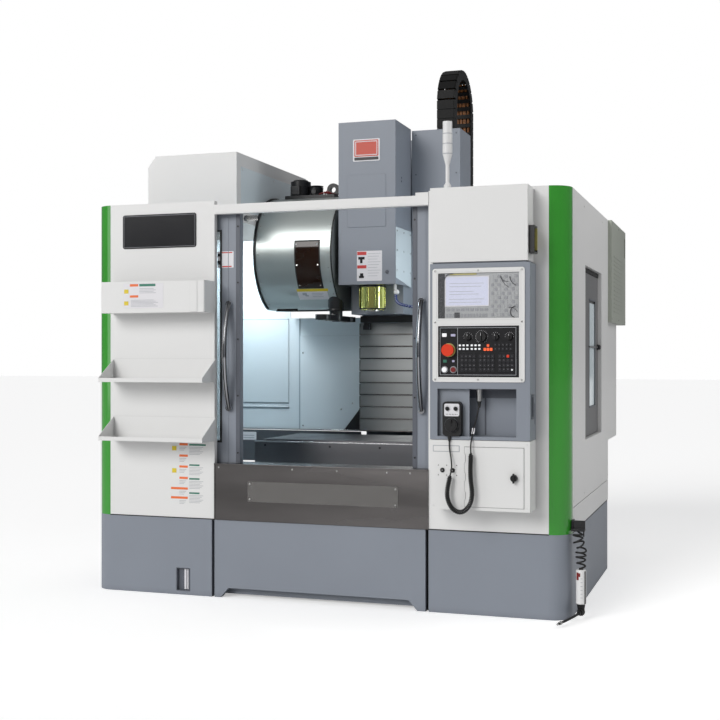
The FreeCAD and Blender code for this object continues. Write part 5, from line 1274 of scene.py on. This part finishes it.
class MACHINE_OT_right_side(BuildOperator, bpy.types.Operator):
    """Adds the service door's seal, the cabinet's doors and the cooling unit's grilles"""

    bl_idname = "machine.right_side"
    bl_label = "Right side and rear"

    def build(self, context):
        pane, proud = (808, 1032), (1180, 1181.4)
        # The side window is painted pale and glows a little: painted light seen through the glass.
        Form().box((1174, 1177), pane, (924, 1452)).done("side_window", "window light", "side_door")
        seal = Form().box(proud, (pane[0] - 5, pane[0] + 1), (916, 1472))
        seal.box(proud, (pane[1] - 1, pane[1] + 5), (916, 1472)).box(proud, pane, (1464, 1472))
        seal.box(proud, pane, (916, 924)).done("side_window_seal", "dark grey paint", "side_door", bevel=0.4,
            slot="hose_rubber")
        # Dark strip at the head of the door's opening: painted shadow of the recess above the door.
        Form().box((1180, 1184), (540, 1143), (1596, 1617)).done("side_door_head", "joint shadow", "side_door")
        ring = Form().rod("x", (1188, 1120, 1227), 13, 16).rod("x", (1183, 1120, 1227), 16, 5)
        ring.done("side_latch_ring", "black plastic", "side_door", bevel=0.6)
        left, right, rear = 380, 1195, 1905
        seams = Form()
        for x in (left + 14, (left + right) / 2, right - 16):
            seams.box((x - 1.2, x + 1.2), (rear - 0.4, rear + 0.3), (726, 1360))
        seams.box((left + 14, right - 16), (rear - 0.4, rear + 0.3), (725, 727)).done(
            "cabinet_joints", "joint shadow", bevel=0)
        locks = Form()
        for z in (880, 1220):
            locks.rod("d", ((left + right) / 2 - 26, rear + 2, z), 11, 4).box(
                ((left + right) / 2 - 30, (left + right) / 2 - 22), (rear + 3, rear + 8), (z - 16, z + 16))
        locks.done("cabinet_locks", "black plastic", bevel=0.8)
        vents = Form()
        for x in (470, 860):
            for k in range(12):
                vents.swept([(rear - 1, 1100 + k * 18), (rear + 4, 1104 + k * 18), (rear - 1, 1112 + k * 18)], "dz",
                    x, x + 210)
        vents.done("cabinet_louvres", "white powder coat", bevel=0.4)
        hinges = Form()
        for x in (left + 10, right - 12):
            for z in (800, 1050, 1300):
                hinges.rod("z", (x, rear + 3, z), 6, 60, sides=16)
        hinges.done("cabinet_hinges", "white powder coat", bevel=0.5)
        cooler = Form()
        for k in range(14):
            cooler.box((1219.6, 1222.5), (1560, 1980), (1430 + k * 24, 1438 + k * 24))
        cooler.done("cooler_louvres", "cooler coat", bevel=1)
        Form().box((1207, 1209), (2112, 2168), (1783, 1899)).done("cooler_slot_back", "joint shadow", bevel=0)
        Form().screws([(d, z) for d in (1465, 1800, 2165) for z in (1390, 1922)], 1220, axis="x", sign=1).done(
            "cooler_screws", "ground steel", bevel=0.2)
        skins = Form().frame((385, 1190), (1380, 1935), 3, rear - 0.2, 1.2)
        skins.done("cabinet_upper_frame", "white powder coat", bevel=0.3)
        column = Form()
        for x in (-150, 150):
            for z in range(620, 2260, 150):
                column.rod("d", (x, 1803, z), 12, 8, sides=6)
        column.done("column_bolts", "ground steel", bevel=0.6)
        ribs = Form()
        for z in (760, 1140, 1520, 1900):
            ribs.box((-120, 120), (1800, 1808), (z, z + 220))
        ribs.done("column_covers", "cast paint", bevel=4)
        side = Form().screws([(d, z) for d in (130, 480, 1180, 1420) for z in (520, 1900)], 1200, axis="x", sign=1,
                             radius=4)
        side.done("side_screws", "white powder coat", bevel=0.2)
        cover = Form().screws([(x, z) for x in (190, 420) for z in (1950, 2190, 2410)], 1075, radius=4)
        cover.done("column_cover_screws", "dark grey paint", bevel=0.2)
        top = Form().box((-520, 540), (-4.2, -3.6), (1880, 1882)).box((-531, 553), (-5, -4), (1874, 1877))
        top.done("beam_fold", "white powder coat", bevel=0.3)


class MACHINE_OT_signal_lamp(BuildOperator, bpy.types.Operator):
    """Adds the signal lamp's joints and top"""

    bl_idname = "machine.signal_lamp"
    bl_label = "Signal lamp"

    def build(self, context):
        x, d = 639, 15
        bands = Form()
        for z in (2108, 2154, 2200):
            bands.rod("z", (x, d, z), 22.6, 4, sides=40)
        bands.done("lamp_bands", "label grey", bevel=0.8, slot="lamp_white")
        ribs = Form()
        for low in (2112, 2158):
            ribs.ridged((x, d), 22.4, 1.2, 20, "xd", low, low + 38)
        ribs.done("lamp_ribs", "white plastic", bevel=0)
        Form().rod("z", (x, d, 1944), 21, 6, sides=32).done("lamp_flange", "white plastic", bevel=1)


class MACHINE_OT_stage(BuildOperator, bpy.types.Operator):
    """Lays the pale floor and sets the soft studio light"""

    bl_idname = "machine.stage"
    bl_label = "Studio"

    def build(self, context):
        stage = context.scene.machine_stage
        mesh = bmesh.new()
        bmesh.ops.create_grid(mesh, x_segments=2, y_segments=2, size=60)
        data = bpy.data.meshes.new("studio_floor")
        mesh.to_mesh(data)
        mesh.free()
        floor = bpy.data.objects.new("studio_floor", data)
        context.scene.collection.objects.link(floor)
        ground = finish("floor")
        data.materials.append(ground)
        seen_only, shader = (ground.node_tree.nodes.new("ShaderNode" + kind) for kind in ("LightPath", "Math"))
        shader.operation = "MULTIPLY"
        shader.inputs[1].default_value = stage.floor
        surface = ground.node_tree.nodes["Principled BSDF"]
        surface.inputs["Emission Color"].default_value = (1, 1, 1, 1)
        link_all(ground.node_tree.links, ((seen_only.outputs["Is Camera Ray"], shader.inputs[0]),
                                          (shader.outputs[0], surface.inputs["Emission Strength"])))
        world = bpy.data.worlds.new("Studio")
        context.scene.world = world
        world.use_nodes = True
        nodes, links = world.node_tree.nodes, world.node_tree.links
        sky = nodes["Background"]
        sky.inputs["Strength"].default_value = stage.fill
        seen = nodes.new("ShaderNodeBackground")
        seen.inputs["Color"].default_value = (1, 1, 1, 1)
        path, mixed = nodes.new("ShaderNodeLightPath"), nodes.new("ShaderNodeMixShader")
        where, split, ramp = (nodes.new("ShaderNode" + kind) for kind in ("TexCoord", "SeparateXYZ", "ValToRGB"))
        ramp.color_ramp.elements[0].position, ramp.color_ramp.elements[1].position = 0.42, 0.75
        ramp.color_ramp.elements[0].color = (0.16, 0.165, 0.18, 1)
        ramp.color_ramp.elements[1].color = (1.35, 1.36, 1.38, 1)
        between = ramp.color_ramp.elements.new(0.53)
        between.color = (0.62, 0.64, 0.67, 1)
        height = nodes.new("ShaderNodeMapRange")
        height.inputs["From Min"].default_value = -1
        link_all(links, ((where.outputs["Generated"], split.inputs[0]), (split.outputs["Z"], height.inputs["Value"]),
                         (height.outputs[0], ramp.inputs[0]), (ramp.outputs[0], sky.inputs["Color"]),
                         (path.outputs["Is Camera Ray"], mixed.inputs[0]), (sky.outputs[0], mixed.inputs[1]),
                         (seen.outputs[0], mixed.inputs[2]),
                         (mixed.outputs[0], nodes["World Output"].inputs["Surface"])))

        def light(name, kind, place, aim, strength, size, tint):
            data = bpy.data.lights.new(name, kind)
            data.energy = strength
            data.color = tint
            if kind == "SUN":
                data.angle = size
            else:
                data.shape = "RECTANGLE"
                data.size, data.size_y = size
            made = bpy.data.objects.new(name, data)
            made.location = place
            made.rotation_euler = (Vector(aim) - Vector(place)).to_track_quat("-Z", "Y").to_euler()
            made.visible_camera = False
            context.scene.collection.objects.link(made)

        plain, warm, cool = (1, 1, 1), (1, 0.985, 0.97), (0.88, 0.96, 1.0)
        near_drum, near_head = at(-890, 860, 1840), at(820, 700, 1500)
        wall, head_side = at(-620, 1275, 1050), at(161, 940, 1740)
        light("Key", "SUN", (-3.0, -7.0, 4.6), (0, 0, 1), stage.key, math.radians(30), (1, 0.99, 0.975))
        light("Left softbox", "AREA", (-4.5, -4.5, 2.4), (0, 0, 1.2), 30, (1.6, 3.4), plain)
        light("Right softbox", "AREA", (3.4, -0.4, 3.3), (1.2, 0.1, 1.7), 26, (1.6, 1.2), warm)
        light("Left work lamp", "AREA", near_drum, wall, stage.lamp, (0.3, 0.2), cool)
        light("Right work lamp", "AREA", near_head, head_side, stage.lamp * 0.3, (0.1, 0.3), cool)


OPERATORS = (MACHINE_OT_camera, MACHINE_OT_pendant_cable, MACHINE_OT_air_line, MACHINE_OT_paintwork,
             MACHINE_OT_left_front, MACHINE_OT_doors, MACHINE_OT_console, MACHINE_OT_pendant, MACHINE_OT_lower_box,
             MACHINE_OT_work_space, MACHINE_OT_way_cover, MACHINE_OT_spindle_head, MACHINE_OT_magazine,
             MACHINE_OT_energy_chain, MACHINE_OT_right_side, MACHINE_OT_signal_lamp, MACHINE_OT_stage)


class VIEW3D_PT_machine(bpy.types.Panel):
    """The machine's settings and the operators that build it"""

    bl_label = "Machining centre"
    bl_idname = "VIEW3D_PT_machine"
    bl_space_type = "VIEW_3D"
    bl_region_type = "UI"
    bl_category = "Machine"

    def draw(self, context):
        for group in (context.scene.machine_colours, context.scene.machine_sizes, context.scene.machine_stage):
            column = self.layout.column(align=True)
            for name in group.bl_rna.properties.keys():
                if name not in ("rna_type", "name"):
                    column.prop(group, name)
        for operator in OPERATORS:
            self.layout.operator(operator.bl_idname)


GROUPS = {"machine_colours": MachineColours, "machine_sizes": MachineSizes, "machine_stage": MachineStage}


def register():
    for made in (*GROUPS.values(), *OPERATORS, VIEW3D_PT_machine):
        bpy.utils.register_class(made)
    for name, group in GROUPS.items():
        setattr(bpy.types.Scene, name, PointerProperty(type=group))


def unregister():
    for name in GROUPS:
        delattr(bpy.types.Scene, name)
    for made in reversed((*GROUPS.values(), *OPERATORS, VIEW3D_PT_machine)):
        bpy.utils.unregister_class(made)


def main():
    register()
    bpy.context.scene.view_settings.view_transform = "Standard"
    for operator in OPERATORS:
        prefix, name = operator.bl_idname.split(".")
        if getattr(getattr(bpy.ops, prefix), name)() != {"FINISHED"}:
            raise RuntimeError(f"{operator.bl_label} did not finish")


if __name__ == "__main__":
    main()
